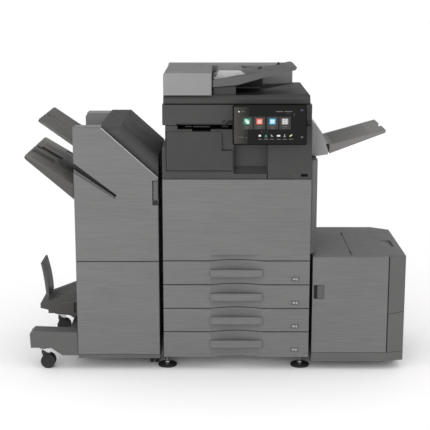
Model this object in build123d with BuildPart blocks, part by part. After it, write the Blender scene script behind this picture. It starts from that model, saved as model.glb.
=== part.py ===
"""Floor-standing A3 office photocopier with a booklet finisher and a large paper deck.

The copier stands in the middle, the finisher is docked on its left and the paper deck on its
right.  Every place is worked out in the copier's own axes: X = 0 is the middle of the copier's
front, Y = 0 is the plane of its front covers (positive to the rear) and Z = 0 is the floor.
ORIGIN_X and ORIGIN_Y move the whole machine so that the middle of its footprint is the origin.
"""
import os
from math import asin, cos, hypot, sin

from build123d import *

# ---- frame ---------------------------------------------------------------------------------
ORIGIN_X = 79.5        # copier's front centre, in the part's frame
ORIGIN_Y = -255.0

# ---- copier ----------------------------------------------------------------------------------
HALF_W = 297.0         # half the width over the front covers
DEPTH = 600.0
SKIRT_Z = 56.0         # underside of the covers
BASE_Z = 62.0          # underside of the frame's base plate
PITCH = 100.0          # from one drawer to the next
DRAWERS_TOP = 466.0    # top seam of the first drawer
COVER_TOP = 802.0      # top of the brushed front cover
SCAN_Z = 1017.0        # underside of the scanner
SCAN_TOP = 1097.0
ADF_Z = 1099.0         # underside of the document feeder
ADF_DECK = 1132.0      # top of the feeder's base
SEAM = 1.5             # half the gap between neighbouring covers
PANEL_T = 26.0         # thickness of drawer fronts and covers
SHEET = 6.0            # frame plate

# ---- hand hollow down the drawer fronts, with a bar grip across it in each drawer -------------
POCKET_HALF = 106.5    # half its width
POCKET_SAG = 23.0      # depth at its middle
POCKET_R = (POCKET_HALF ** 2 + POCKET_SAG ** 2) / (2 * POCKET_SAG)
POCKET_RISE = 26.0     # how far it reaches up into the front cover
GRIP_Y = (-8.0, 9.0)
GRIP_TOP = 36.0        # below the seam
GRIP_H = 31.0
PLINTH_LINE = 71.0     # groove near the foot of the lowest drawer
PLINTH_CUT = 1.2

# ---- finisher ------------------------------------------------------------------------------
FIN_L, FIN_R = -650.0, -314.0
FIN_SKIRT = 51.0
FIN_SEAM = 463.0
FIN_TOP = 1008.0
FIN_D = 560.0
FIN_CUT_X = -540.0     # where the sloping top edge starts
FIN_CUT_Z = 806.0      # where it ends, at the right edge
HOOD_TOP = 1018.0

# ---- paper deck ----------------------------------------------------------------------------
LCC_L, LCC_R = 310.0, 690.0
LCC_F, LCC_B = 9.0, 559.0
LCC_Z, LCC_TOP = 37.0, 480.0
LCC_PLINTH = 74.0
LCC_LID_X = 470.0      # hinge line of the lid
LCC_LID_Y = 458.0      # rear end of the lid
LCC_SIDE_SEAM = 246.0

RUN_FIT = 0.06         # radial clearance of a turning shaft


# ---- sketch planes and common shapes -------------------------------------------------------
def at(x, y, z):
    """A place in the part's frame from one in the copier's axes."""
    return (ORIGIN_X + x, ORIGIN_Y + y, z)


def plan(z):
    """Horizontal sketch plane, X to the right and Y to the rear."""
    return Plane(at(0, 0, z))


def front(y):
    """Upright sketch plane facing forwards, X to the right and Y up."""
    return Plane(origin=at(0, y, 0), x_dir=(1, 0, 0), z_dir=(0, -1, 0))


def side(x):
    """Upright sketch plane facing right, X to the rear and Y up."""
    return Plane(origin=at(x, 0, 0), x_dir=(0, 1, 0), z_dir=(1, 0, 0))


def block(x, y, z, mode=Mode.ADD):
    """Box between pairs of X, Y and Z."""
    with Locations(at(x[0], y[0], z[0])):
        return Box(x[1] - x[0], y[1] - y[0], z[1] - z[0], align=(Align.MIN,) * 3, mode=mode)


def prism(plane, points, depth, mode=Mode.ADD):
    """Polygon on a sketch plane, pulled along the plane's normal."""
    with BuildSketch(plane) as outline:
        with BuildLine():
            Polyline(*points, close=True)
        make_face()
    return extrude(outline.sketch, amount=depth, mode=mode)


def rod(centre, radius, length, direction, mode=Mode.ADD):
    """Round bar that starts at centre and runs along direction."""
    with Locations(Plane(origin=at(*centre), z_dir=direction)):
        return Cylinder(radius, length, align=(Align.CENTER, Align.CENTER, Align.MIN), mode=mode)


def save(piece, label):
    """Name a finished piece and write its STEP file."""
    piece.part.label = label
    export_step(piece.part, f"parts/{label}.step")


def hollow(bottom, top, extra=0.0):
    """Cut the hand hollow between two heights, an arc in plan, with a little extra depth."""
    rod((0, POCKET_SAG - POCKET_R, bottom), POCKET_R + extra, top - bottom, (0, 0, 1), Mode.SUBTRACT)


os.makedirs("parts", exist_ok=True)

# ============================================================================================
# Copier: frame and covers
# ============================================================================================
FRAME_X = 272.0                       # outside of the side plates
FRAME_Y = (40.0, 580.0)
DECK_Z = 470.0                        # plate between the drawers and the engine
ENGINE_Z = 796.0                      # plate over the engine
BOX_HALF = 250.0                      # half the width of a drawer box
BOX_BACK = 500.0
BOX_WALL = 3.0
RAIL_X = 240.0                        # inner edge of the rails
RAIL_Z = 14.0                         # rail's top above a drawer's bottom edge
BASE_RAIL_LIFT = 4.0                  # the lowest drawer's rail clears the base plate
WELD = 0.2                            # gap left between plates of the frame


def drawer_span(number):
    """Bottom and top edge of drawer 1 to 4, seam to seam."""
    top = DRAWERS_TOP - PITCH * (number - 1)
    return (SKIRT_Z if number == 4 else top - PITCH), top


def rail_height(number):
    """Top of the rails that carry a drawer."""
    return drawer_span(number)[0] + RAIL_Z + (BASE_RAIL_LIFT if number == 4 else 0)


with BuildPart() as main_frame:
    block((-280, 280), FRAME_Y, (BASE_Z, BASE_Z + SHEET + 2))
    plate_z = (BASE_Z + SHEET + 2 + WELD, COVER_TOP)
    inner = FRAME_X - SHEET - WELD
    for s in (-1, 1):
        block(sorted((s * FRAME_X, s * (FRAME_X - SHEET))), FRAME_Y, plate_z)
    block((-inner, inner), (FRAME_Y[1] - SHEET, FRAME_Y[1]), plate_z)
    for z in (DECK_Z, ENGINE_Z):
        block((-inner, inner), (FRAME_Y[0], FRAME_Y[1] - SHEET - WELD), (z, z + SHEET - WELD))
    for number in (1, 2, 3, 4):
        rail_top = rail_height(number)
        for s in (-1, 1):
            block(sorted((s * RAIL_X, s * inner)), (FRAME_Y[0], BOX_BACK + 20), (rail_top - 3, rail_top))
save(main_frame, "main_frame")

with BuildPart() as left_side_cover:
    block((-HALF_W, -HALF_W + 14), (PANEL_T + 4, 585), (SKIRT_Z + 2, COVER_TOP - 2))
    block((-HALF_W + 3, -HALF_W + 15), (PANEL_T + 12, 577), (SKIRT_Z + 10, COVER_TOP - 10), Mode.SUBTRACT)
save(left_side_cover, "left_side_cover")

with BuildPart() as right_side_cover:
    block((HALF_W - 14, HALF_W), (PANEL_T + 4, 585), (SKIRT_Z + 2, COVER_TOP - 2))
    block((HALF_W - 15, HALF_W - 3), (PANEL_T + 12, 577), (SKIRT_Z + 10, COVER_TOP - 10), Mode.SUBTRACT)
    block((HALF_W - 20, HALF_W + 1), (90, 470), (530, 770), Mode.SUBTRACT)
save(right_side_cover, "right_side_cover")

VENT_COUNT = 9
with BuildPart() as rear_cover:
    block((-HALF_W, HALF_W), (588, DEPTH), (SKIRT_Z + 2, SCAN_Z - 8))
    fillet(rear_cover.edges().group_by(Axis.Y)[-1], 4)
    for row in range(VENT_COUNT):
        for x in (-180, 120):
            block((x - 60, x + 60), (580, 610), (640 + 16 * row, 647 + 16 * row), Mode.SUBTRACT)
    block((170, 222), (580, 610), (120, 152), Mode.SUBTRACT)
    # the power inlet, a socket let into the cover with its three blades
    block((171, 221), (582, DEPTH), (121, 151))
    block((180, 212), (590, 610), (126, 146), Mode.SUBTRACT)
    for x in (187, 196, 205):
        block((x - 1, x + 1), (589, 597), (133, 139))
save(rear_cover, "rear_cover")

BOTTLE_R = 38.0
BOTTLE_X = (-165, -55, 55, 165)
BOTTLE_Z = 722.0
with BuildPart() as inner_front_cover:
    block((-264, 264), (44, 50), (DECK_Z + 8, ENGINE_Z - 2))
    for x in BOTTLE_X:
        rod((x, 40, BOTTLE_Z), BOTTLE_R + 3, 20, (0, 1, 0), Mode.SUBTRACT)
    block((-250, 250), (36, 44), (500, 506))
save(inner_front_cover, "inner_front_cover")

with BuildPart() as toner_cartridges:
    for x in BOTTLE_X:
        rod((x, 54, BOTTLE_Z), BOTTLE_R, 370, (0, 1, 0))
        rod((x, 36, BOTTLE_Z), BOTTLE_R - 4, 18, (0, 1, 0))
        block((x - 20, x + 20), (31, 36), (BOTTLE_Z - 5, BOTTLE_Z + 5))
save(toner_cartridges, "toner_cartridges")

with BuildPart() as fuser_unit:
    block((130, 250), (56, 560), (540, 670))
    fillet(fuser_unit.edges().filter_by(Axis.Y), 10)
save(fuser_unit, "fuser_unit")

with BuildPart() as front_cover:
    block((-HALF_W, HALF_W), (0, PANEL_T), (DRAWERS_TOP + SEAM, COVER_TOP - SEAM))
    fillet(front_cover.edges().group_by(Axis.Y)[0], 2.5)
    block((-HALF_W + 12, HALF_W - 12), (23.5, PANEL_T + 1), (500, COVER_TOP - 16), Mode.SUBTRACT)
    hollow(DRAWERS_TOP, DRAWERS_TOP + POCKET_RISE)
save(front_cover, "front_cover")

# ---- paper drawers ---------------------------------------------------------------------------
for number in (1, 2, 3, 4):
    bottom, top = drawer_span(number)
    with BuildPart() as tray_front:
        block((-HALF_W, HALF_W), (0, PANEL_T), (bottom + SEAM, top - SEAM))
        fillet(tray_front.edges().group_by(Axis.Y)[0], 2.5)
        hollow(bottom, top)
        if number == 4:
            hollow(PLINTH_LINE, PLINTH_LINE + 1, PLINTH_CUT)
            block((-HALF_W - 1, HALF_W + 1), (-1, PLINTH_CUT), (PLINTH_LINE, PLINTH_LINE + 1), Mode.SUBTRACT)
        grip_z = top - GRIP_TOP - GRIP_H
        grip = block((-POCKET_HALF, POCKET_HALF), GRIP_Y, (grip_z, grip_z + GRIP_H))
        fillet(grip.edges().group_by(Axis.Y)[0], 3)
    save(tray_front, f"tray_{number}_front")

    floor_z = rail_height(number) + 0.5
    rim_z = top - 16
    with BuildPart() as tray_box:
        block((-BOX_HALF, BOX_HALF), (PANEL_T + 0.3, BOX_BACK), (floor_z, rim_z))
        block((-BOX_HALF + BOX_WALL, BOX_HALF - BOX_WALL), (PANEL_T + 4, BOX_BACK - BOX_WALL),
              (floor_z + BOX_WALL, rim_z + 1), Mode.SUBTRACT)
        # lift plate and the two width fences, loose pieces inside the box
        block((-150, 246), (60, 480), (floor_z + 6, floor_z + 8))
        for y in (90, 420):
            block((-60, 160), (y, y + 4), (floor_z + 9, rim_z - 6))
    save(tray_box, f"tray_{number}_box")

# ---- dark upper housing round the paper exit ------------------------------------------------
RELAY_X = (-279.0, -17.0)
RELAY_Z = (838.0, 991.0)
RELAY_STEP = (-61.0, 917.0)            # inner corner of the cover's L shape
RELAY_BEND_Z = 964.0                   # above it the cover leans back
RELAY_GAP = 3.0
WELL_X = (-13.0, 119.0)
WELL_BACK = 44.0
SIDE_STEP_Z = 928.0                    # above it the housing's left side is set back
EXIT_Z = 1000.0                        # floor of the paper exit under the scanner
HOUSING_TOP = SCAN_Z - 3
with BuildPart() as in_body_housing:
    block((-HALF_W, HALF_W), (6, 587), (COVER_TOP, HOUSING_TOP))
    block((-HALF_W - 1, -284), (0, 600), (SIDE_STEP_Z, SCAN_Z), Mode.SUBTRACT)
    # exit space under the scanner, with a dip for the sheets' front edge
    block((-236, WELL_X[1]), (0, 440), (EXIT_Z, SCAN_Z), Mode.SUBTRACT)
    block((-178, -104), (0, 440), (EXIT_Z - 8, SCAN_Z), Mode.SUBTRACT)
    # shallow well beside the relay unit, with a ledge and a groove at its foot
    prism(side(WELL_X[0]), [(0, EXIT_Z + 1), (WELL_BACK, EXIT_Z + 1), (WELL_BACK, 848), (WELL_BACK - 4, 843),
                            (30, 830), (30, 818), (6, 823), (0, 823)], WELL_X[1] - WELL_X[0], Mode.SUBTRACT)
    # shadow gap along the left and the foot of the relay unit's cover
    block((RELAY_X[0] - RELAY_GAP, RELAY_X[0] + 2), (0, 15), (RELAY_Z[0] - 5, RELAY_Z[1]), Mode.SUBTRACT)
    block((RELAY_X[0] - RELAY_GAP, RELAY_X[1]), (0, 15), (RELAY_Z[0] - 5, RELAY_Z[0] + 2), Mode.SUBTRACT)
    # the relay unit's own bay behind its cover
    block((RELAY_X[0] + 20, RELAY_STEP[0] - 8), (0, 400), (RELAY_Z[0] + 14, RELAY_Z[1] - 14), Mode.SUBTRACT)
    # seam that parts the right block from the well, and one under the small fixed panel
    block((WELL_X[1], WELL_X[1] + 4), (0, 30), (COVER_TOP - 1, SCAN_Z), Mode.SUBTRACT)
    block((RELAY_STEP[0] + 1, RELAY_X[1]), (0, 9), (RELAY_STEP[1] + 1, RELAY_STEP[1] + 4), Mode.SUBTRACT)
    # recess of the power key
    block((255, 282), (0, 14), (811, 822), Mode.SUBTRACT)
save(in_body_housing, "in_body_housing")

with BuildPart() as relay_unit_cover:
    prism(front(5), [(RELAY_X[0], RELAY_Z[0]), (RELAY_X[1], RELAY_Z[0]), (RELAY_X[1], RELAY_STEP[1]),
                     RELAY_STEP, (RELAY_STEP[0], RELAY_Z[1]), (RELAY_X[0], RELAY_Z[1])], 11)
    fillet(relay_unit_cover.edges().filter_by(Axis.Y).sort_by(Axis.X)[0:2], 8)
    prism(side(RELAY_X[0] - 1), [(-7, RELAY_BEND_Z), (-6, RELAY_BEND_Z), (0, RELAY_Z[1] + 1),
                                 (-7, RELAY_Z[1] + 1)], RELAY_STEP[0] - RELAY_X[0] + 2, Mode.SUBTRACT)
save(relay_unit_cover, "relay_unit_cover")

with BuildPart() as power_key:
    with BuildSketch(front(9)) as key:
        with Locations((268.5, 816.5)):
            SlotOverall(24, 8.6)
    extrude(key.sketch, amount=4.5)
    fillet(power_key.edges().group_by(Axis.Y)[0], 1)
save(power_key, "power_key")

# ---- scanner ---------------------------------------------------------------------------------
GLASS_X = (-230.0, 214.0)
GLASS_Y = (62.0, 382.0)
with BuildPart() as scanner_housing:
    block((-295, 295), (2, 594), (SCAN_Z, SCAN_TOP))
    fillet(scanner_housing.edges().filter_by(Axis.Z), 5)
    block((-283, 283), (18, 570), (SCAN_Z + 5, SCAN_TOP - 8), Mode.SUBTRACT)
    block((GLASS_X[0] + 5, GLASS_X[1] - 5), (GLASS_Y[0] + 5, GLASS_Y[1] - 5), (1080, 1100), Mode.SUBTRACT)
    block(GLASS_X, GLASS_Y, (SCAN_TOP - 4, SCAN_TOP + 1), Mode.SUBTRACT)
    # narrow window beside the platen for sheets moving through the feeder
    block((-262, -242), (GLASS_Y[0], GLASS_Y[1]), (1080, 1100), Mode.SUBTRACT)
    # underside of the front lip, turned up over the exit space
    prism(side(-240), [(1, SCAN_Z - 1), (1, SCAN_Z + 7), (14, SCAN_Z - 1)], 190, Mode.SUBTRACT)
    # the front lip steps up over the panel side
    prism(front(17), [(-52, 1010), (-40, 1030), (-33, 1037), (300, 1037), (300, 1010)], 20, Mode.SUBTRACT)
save(scanner_housing, "scanner_housing")

with BuildPart() as platen_glass:
    block((GLASS_X[0] + 0.5, GLASS_X[1] - 0.5), (GLASS_Y[0] + 0.5, GLASS_Y[1] - 0.5),
          (SCAN_TOP - 3.8, SCAN_TOP - 0.2))
save(platen_glass, "platen_glass")

with BuildPart() as scan_carriage:
    block((-274, -230), (40, 420), (SCAN_Z + 12, SCAN_Z + 54))
    chamfer(scan_carriage.edges().filter_by(Axis.Y).group_by(Axis.Z)[-1], 8)
    block((-256, -248), (50, 410), (SCAN_Z + 30, SCAN_Z + 60), Mode.SUBTRACT)
save(scan_carriage, "scan_carriage")

# ---- control panel ---------------------------------------------------------------------------
PANEL_X = (-19.0, 268.0)
PANEL_TOP = (-60.0, 1106.0)            # Y and Z of the front face's top edge
PANEL_FOOT = (-90.0, 953.0)
PANEL_H = hypot(PANEL_TOP[0] - PANEL_FOOT[0], PANEL_TOP[1] - PANEL_FOOT[1])
PANEL_LEAN = asin((PANEL_TOP[0] - PANEL_FOOT[0]) / PANEL_H)
PANEL_W = PANEL_X[1] - PANEL_X[0]
PANEL_DEPTH = 20.0
HINGE_Y, HINGE_Z = -26.0, 1078.0
panel_face = Plane(origin=at(sum(PANEL_X) / 2, (PANEL_TOP[0] + PANEL_FOOT[0]) / 2,
                             (PANEL_TOP[1] + PANEL_FOOT[1]) / 2),
                   x_dir=(1, 0, 0), z_dir=(0, -cos(PANEL_LEAN), sin(PANEL_LEAN)))

with BuildPart() as panel_bracket:
    block((60, 190), (-34, 1.7), (1064, 1092))
    fillet(panel_bracket.edges().filter_by(Axis.X), 8)
    block((84, 166), (-40, -8), (1050, 1100), Mode.SUBTRACT)
    rod((60, HINGE_Y, HINGE_Z), 5, 130, (1, 0, 0), Mode.SUBTRACT)
save(panel_bracket, "panel_bracket")

with BuildPart() as control_panel:
    with BuildSketch(panel_face):
        RectangleRounded(PANEL_W, PANEL_H, 7)
    extrude(amount=-PANEL_DEPTH)
    with BuildSketch(panel_face):
        RectangleRounded(PANEL_W - 5, PANEL_H - 5, 5.5)
    extrude(amount=-2.5, mode=Mode.SUBTRACT)
    # knuckle and pin that turn in the bracket's ears
    block((88, 162), (-46, HINGE_Y), (1068, 1088))
    rod((88, HINGE_Y, HINGE_Z), 9, 74, (1, 0, 0))
    rod((61, HINGE_Y, HINGE_Z), 5 - RUN_FIT, 128, (1, 0, 0))
save(control_panel, "control_panel")

with BuildPart() as touch_screen:
    with BuildSketch(panel_face.offset(-2.5)):
        RectangleRounded(PANEL_W - 6, PANEL_H - 6, 5)
    extrude(amount=2.2)
save(touch_screen, "touch_screen")

# ---- document feeder -------------------------------------------------------------------------
ADF_X = (-291.0, 288.0)
ADF_F, ADF_B = 16.0, 590.0
FEED_X = (-291.0, -100.0)
FEED_Y = (20.0, 484.0)
FEED_TOP = 1221.0
ROLLER_X, ROLLER_Z = -165.0, 1176.0
CATCHER_F, CATCHER_Z = 150.0, 1118.0   # front edge and floor of the sheet catcher
with BuildPart() as adf_base:
    prism(side(ADF_X[0]), [(ADF_F, ADF_Z + 2), (ADF_B, ADF_Z + 2), (ADF_B, ADF_DECK), (ADF_F + 14, ADF_DECK),
                           (ADF_F, ADF_DECK - 14)], ADF_X[1] - ADF_X[0])
    # deck that rises gently to the right, with the sheet catcher let into it behind a slanting edge
    prism(front(ADF_F + 14), [(60, ADF_DECK), (270, ADF_DECK + 8), (280, ADF_DECK + 8),
                              (288, ADF_DECK)], -452)
    prism(plan(CATCHER_Z), [(-2, CATCHER_F), (50, CATCHER_F), (250, 474), (-2, 474)], 30, Mode.SUBTRACT)
    # solid step under the root of the document tray
    prism(front(48), [(-94, ADF_DECK - 1), (-94, 1160), (-5, 1167), (-5, ADF_DECK - 1)], -390)
    # eject unit under the document tray, with its thin ledge
    prism(front(258), [(0, 1146), (109, 1146), (109, 1200), (0, 1170)], -217)
    block((0, 109), (440, 475), (1112, 1147))
    block((-2, 98), (226, 259), (1141, 1147))
    # recess over the roller frame and its two bearing ears
    block((-230, -100), (60, 440), (ADF_DECK - 10, ADF_DECK + 1), Mode.SUBTRACT)
    for y in (120, 370):
        block((ROLLER_X - 10, ROLLER_X + 10), (y, y + 8), (ADF_DECK - 11, ROLLER_Z + 10))
        rod((ROLLER_X, y - 1, ROLLER_Z), 4, 10, (0, 1, 0), Mode.SUBTRACT)
save(adf_base, "adf_base")

with BuildPart() as adf_platen_pad:
    block((GLASS_X[0] - 2, GLASS_X[1] + 2), (GLASS_Y[0] - 2, GLASS_Y[1] + 2), (SCAN_TOP + 0.5, ADF_Z + 1.8))
save(adf_platen_pad, "adf_platen_pad")

with BuildPart() as adf_feed_roller:
    rod((ROLLER_X, 110, ROLLER_Z), 4 - RUN_FIT, 280, (0, 1, 0))
    for y in (200, 270):
        rod((ROLLER_X, y, ROLLER_Z), 15, 30, (0, 1, 0))
save(adf_feed_roller, "adf_feed_roller")

with BuildPart() as adf_rear_housing:
    block((ADF_X[0], 248), (487, ADF_B), (ADF_DECK + 0.3, 1220))
    fillet(adf_rear_housing.edges().filter_by(Axis.X).group_by(Axis.Z)[-1], 8)
    fillet(adf_rear_housing.edges().filter_by(Axis.Z).sort_by(Axis.X)[-2:], 6)
save(adf_rear_housing, "adf_rear_housing")

with BuildPart() as adf_feed_cover:
    block(FEED_X, FEED_Y, (ADF_DECK + 1, FEED_TOP))
    fillet(adf_feed_cover.edges().filter_by(Axis.Y).group_by(Axis.Z)[-1], 10)
    fillet(adf_feed_cover.edges().filter_by(Axis.X).group_by(Axis.Z)[-1].sort_by(Axis.Y)[0], 5)
    block((FEED_X[0] + 4, FEED_X[1] + 1), (FEED_Y[0] + 4, FEED_Y[1] - 4), (ADF_DECK, 1204), Mode.SUBTRACT)
    block((FEED_X[0] + 20, FEED_X[1] - 6), (FEED_Y[0] + 20, FEED_Y[1] - 20), (1190, 1214), Mode.SUBTRACT)
save(adf_feed_cover, "adf_feed_cover")

# ---- document tray: a dished plate that climbs to the right ------------------------------------
DOC_Y = (30.0, 476.0)
DOC_ROOT_X, DOC_TIP_X = -96.0, 235.0
DOC_TOP = ((DOC_ROOT_X, 1192.0), (60.0, 1215.0), (DOC_TIP_X - 12, 1247.0), (DOC_TIP_X, 1241.0))
DOC_UNDER = ((DOC_TIP_X - 6, 1231.0), (110.0, 1203.0), (0.0, 1172.0), (DOC_ROOT_X, 1164.0))
DOC_DISH = 6.0         # depth of the sheet bed below the tray's front lip
with BuildPart() as adf_document_tray:
    prism(front(DOC_Y[0]), DOC_TOP + DOC_UNDER, -(DOC_Y[1] - DOC_Y[0]))
    bed = [(DOC_ROOT_X - 1, DOC_TOP[0][1] - DOC_DISH), (60, DOC_TOP[1][1] - DOC_DISH),
           (DOC_TIP_X - 22, DOC_TOP[2][1] - 2), (DOC_TIP_X - 22, 1270), (DOC_ROOT_X - 1, 1270)]
    prism(front(DOC_Y[0] + 14), bed, -(DOC_Y[1] - DOC_Y[0] - 28), Mode.SUBTRACT)
    # behind the guides the tray narrows to a tongue
    prism(plan(1150), [(DOC_ROOT_X + 138, DOC_Y[1] + 1), (86, 300), (DOC_TIP_X + 1, 282),
                       (DOC_TIP_X + 1, DOC_Y[1] + 1)], 110, Mode.SUBTRACT)
    # slot across the bed in which the guides run
    block((-30, -22), (90, 420), (1174, 1200), Mode.SUBTRACT)
save(adf_document_tray, "adf_document_tray")


def document_guide(label, y, thick):
    """Upright fence with a level top over the sheet bed, and a foot in the cross slot."""
    root_z = DOC_TOP[0][1] - DOC_DISH + 0.6
    mid_z = DOC_TOP[1][1] - DOC_DISH + 0.6
    with BuildPart() as guide:
        outline = [(-88, root_z + 1.4), (36, mid_z - 3.2), (14, FENCE_TOP), (-72, FENCE_TOP)]
        prism(front(y), outline, -thick)
        block((-29, -23), (y, y + thick), (root_z - 5, root_z + 16))
    save(guide, label)


FENCE_TOP = 1223.0
document_guide("document_guide_front", 112, 6)
document_guide("document_guide_rear", 370, 6)

# ---- feet and casters ------------------------------------------------------------------------
FOOT_X = (-286.0, 267.0)
FOOT_Y = (67.0, 540.0)
with BuildPart() as levelling_feet:
    for x in FOOT_X:
        for y in FOOT_Y:
            rod((x, y, 0), 39, 7, (0, 0, 1))
            rod((x, y, 7), 30, 4, (0, 0, 1))
            rod((x, y, 11), 7, BASE_Z - 11.2 if abs(x) < 280 else SKIRT_Z - 11.2, (0, 0, 1))
save(levelling_feet, "levelling_feet")


def fixed_caster(x, y, radius, top):
    """Twin-wheel caster with its plate, locked in line with the machine."""
    block((x - 20, x + 20), (y - 20, y + 20), (top - 4, top))
    block((x - 5, x + 5), (y - 10, y + 10), (radius, top - 4))
    rod((x - 17, y, radius), 4, 34, (1, 0, 0))
    for start in (-16.5, 5.5):
        rod((x + start, y, radius), radius, 11, (1, 0, 0))


with BuildPart() as main_casters:
    for x in (-200, 200):
        for y in (185, 510):
            fixed_caster(x, y, 25, BASE_Z - 0.2)
save(main_casters, "main_casters")

# ============================================================================================
# Right side: jam door, bypass tray, exit unit and exit tray
# ============================================================================================
DOOR_Z = (494.0, 874.0)
DOOR_Y = (14.0, 500.0)
DOOR_X = (298.0, 325.0)
BYPASS_Y = (110.0, 430.0)
BYPASS_Z = (560.0, 780.0)
with BuildPart() as right_door:
    prism(plan(DOOR_Z[0]), [(DOOR_X[0], DOOR_Y[0]), (304, DOOR_Y[0]), (DOOR_X[1], 52), (DOOR_X[1], DOOR_Y[1]),
                            (DOOR_X[0], DOOR_Y[1])], DOOR_Z[1] - DOOR_Z[0])
    chamfer(right_door.edges().filter_by(Axis.Y).sort_by(Axis.X)[-2:], 3)
    block((314, 330), (BYPASS_Y[0] - 1, BYPASS_Y[1] + 1), (BYPASS_Z[0] - 1, BYPASS_Z[1] + 1), Mode.SUBTRACT)
    block((290, 306), (60, 470), (DOOR_Z[0] + 20, DOOR_Z[1] - 20), Mode.SUBTRACT)
    # pull at the front edge
    block((309, 330), (62, 84), (650, 700), Mode.SUBTRACT)
save(right_door, "right_door")

with BuildPart() as bypass_tray:
    block((315, 324.5), BYPASS_Y, BYPASS_Z)
    fillet(bypass_tray.edges().group_by(Axis.X)[-1], 1.5)
    block((313, 317), (BYPASS_Y[0] + 10, BYPASS_Y[1] - 10), (BYPASS_Z[0] + 12, BYPASS_Z[1] - 8),
          Mode.SUBTRACT)
save(bypass_tray, "bypass_tray")

EXIT_Y = (100.0, 470.0)
with BuildPart() as right_exit_unit:
    prism(front(EXIT_Y[0]), [(299, 1006), (308, 1014), (346, 972), (370, 904), (370, 886),
                             (322, 879), (299, 884)], EXIT_Y[0] - EXIT_Y[1])
    fillet(right_exit_unit.edges().filter_by(Axis.Y).sort_by(Axis.X)[2:7], 3)
    # sheet slot above the exit tray
    block((296, 380), (EXIT_Y[0] + 20, EXIT_Y[1] - 20), (928, 942), Mode.SUBTRACT)
save(right_exit_unit, "right_exit_unit")

TRAY_OUT_X = (376.0, 600.0)
TRAY_OUT_Y = (104.0, 444.0)
RIB_STEP = 30.0
with BuildPart() as right_exit_tray:
    prism(front(TRAY_OUT_Y[0]), [(TRAY_OUT_X[0], 889), (TRAY_OUT_X[1], 974), (TRAY_OUT_X[1] + 2, 985),
                                 (TRAY_OUT_X[0], 922)], -(TRAY_OUT_Y[1] - TRAY_OUT_Y[0]))
    # thumb notch in the outer edge
    rod((TRAY_OUT_X[1] + 4, 274, 940), 34, 60, (0, 0, 1), Mode.SUBTRACT)
    rib_y = TRAY_OUT_Y[0] + 22
    while rib_y < TRAY_OUT_Y[1] - 20:
        groove = [(TRAY_OUT_X[0] + 14, 922.6), (TRAY_OUT_X[1] - 60, 966.3), (TRAY_OUT_X[1] - 60, 980),
                  (TRAY_OUT_X[0] + 14, 980)]
        prism(front(rib_y), groove, -14, Mode.SUBTRACT)
        rib_y += RIB_STEP
save(right_exit_tray, "right_exit_tray")

# ============================================================================================
# Paper deck on the right
# ============================================================================================
LCC_SKIN = 4.0
LCC_FACET = (619.0, 30.0)             # where the front turns back, and how far
LCC_OUTLINE = [(LCC_L, LCC_F), (LCC_FACET[0], LCC_F), (LCC_R, LCC_FACET[1]), (LCC_R, 507), (617, LCC_B),
               (LCC_L, LCC_B)]
LCC_FRONT_T = 16.0
FACET_INNER_X = 626.0                 # the turned-back part of the front cover, behind the facet
FACET_BACK = 37.0
FACET_SEAM_FALL = 7.5                 # from the deck's side down to the front
LATCH_X, LATCH_Z = (315.0, 358.0), (304.0, 363.0)
with BuildPart() as lcc_cabinet:
    prism(plan(LCC_Z), LCC_OUTLINE, LCC_TOP - LCC_Z)
    # paper space, then room for the lid, its side flap and the front cover
    block((LCC_L + LCC_SKIN, LCC_R - 12), (40, 500), (LCC_PLINTH, LCC_TOP + 1), Mode.SUBTRACT)
    block((LCC_LID_X, LCC_R + 1), (0, LCC_LID_Y + 1), (LCC_TOP - 14, LCC_TOP + 1), Mode.SUBTRACT)
    block((LCC_R - 13, LCC_R + 1), (32, LCC_LID_Y + 1), (LCC_SIDE_SEAM, LCC_TOP + 1), Mode.SUBTRACT)
    block((LCC_L - 1, LCC_R + 1), (0, LCC_F + LCC_FRONT_T), (LCC_PLINTH, LCC_TOP + 1), Mode.SUBTRACT)
    block((625, LCC_R + 1), (0, 38), (LCC_PLINTH, LCC_TOP + 1), Mode.SUBTRACT)
    # fixed part of the top, left of the lid's hinge line
    block((LCC_L, LCC_LID_X - 1), (LCC_F + LCC_FRONT_T, 510), (LCC_TOP - 6, LCC_TOP))
    block((LCC_L, LCC_R - 10), (LCC_LID_Y + 2, 510), (LCC_TOP - 6, LCC_TOP))
save(lcc_cabinet, "lcc_cabinet")

cover_back = LCC_F + LCC_FRONT_T - 1
with BuildPart() as lcc_front_cover:
    prism(plan(LCC_PLINTH + SEAM), [(LCC_L, LCC_F), (LCC_FACET[0], LCC_F), (LCC_R, LCC_FACET[1]),
                                    (LCC_R, FACET_BACK), (FACET_INNER_X, FACET_BACK),
                                    (FACET_INNER_X, cover_back), (LCC_L, cover_back)],
          LCC_TOP - LCC_PLINTH - SEAM)
    fillet(lcc_front_cover.edges().group_by(Axis.Z)[-1].filter_by(Axis.X).sort_by(Axis.Y)[0], 5)
    # groove beside the facet, its seam, and the latch pocket
    block((617, 622), (0, LCC_F + 5), (LCC_PLINTH, LCC_TOP + 1), Mode.SUBTRACT)
    prism(front(0), [(622, LCC_SIDE_SEAM - FACET_SEAM_FALL - 0.5), (LCC_R + 1, LCC_SIDE_SEAM - 0.5),
                     (LCC_R + 1, LCC_SIDE_SEAM + SEAM), (622, LCC_SIDE_SEAM - FACET_SEAM_FALL + SEAM)],
          -FACET_BACK - 1, Mode.SUBTRACT)
    block(LATCH_X, (0, LCC_F + 11), LATCH_Z, Mode.SUBTRACT)
save(lcc_front_cover, "lcc_front_cover")

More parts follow.
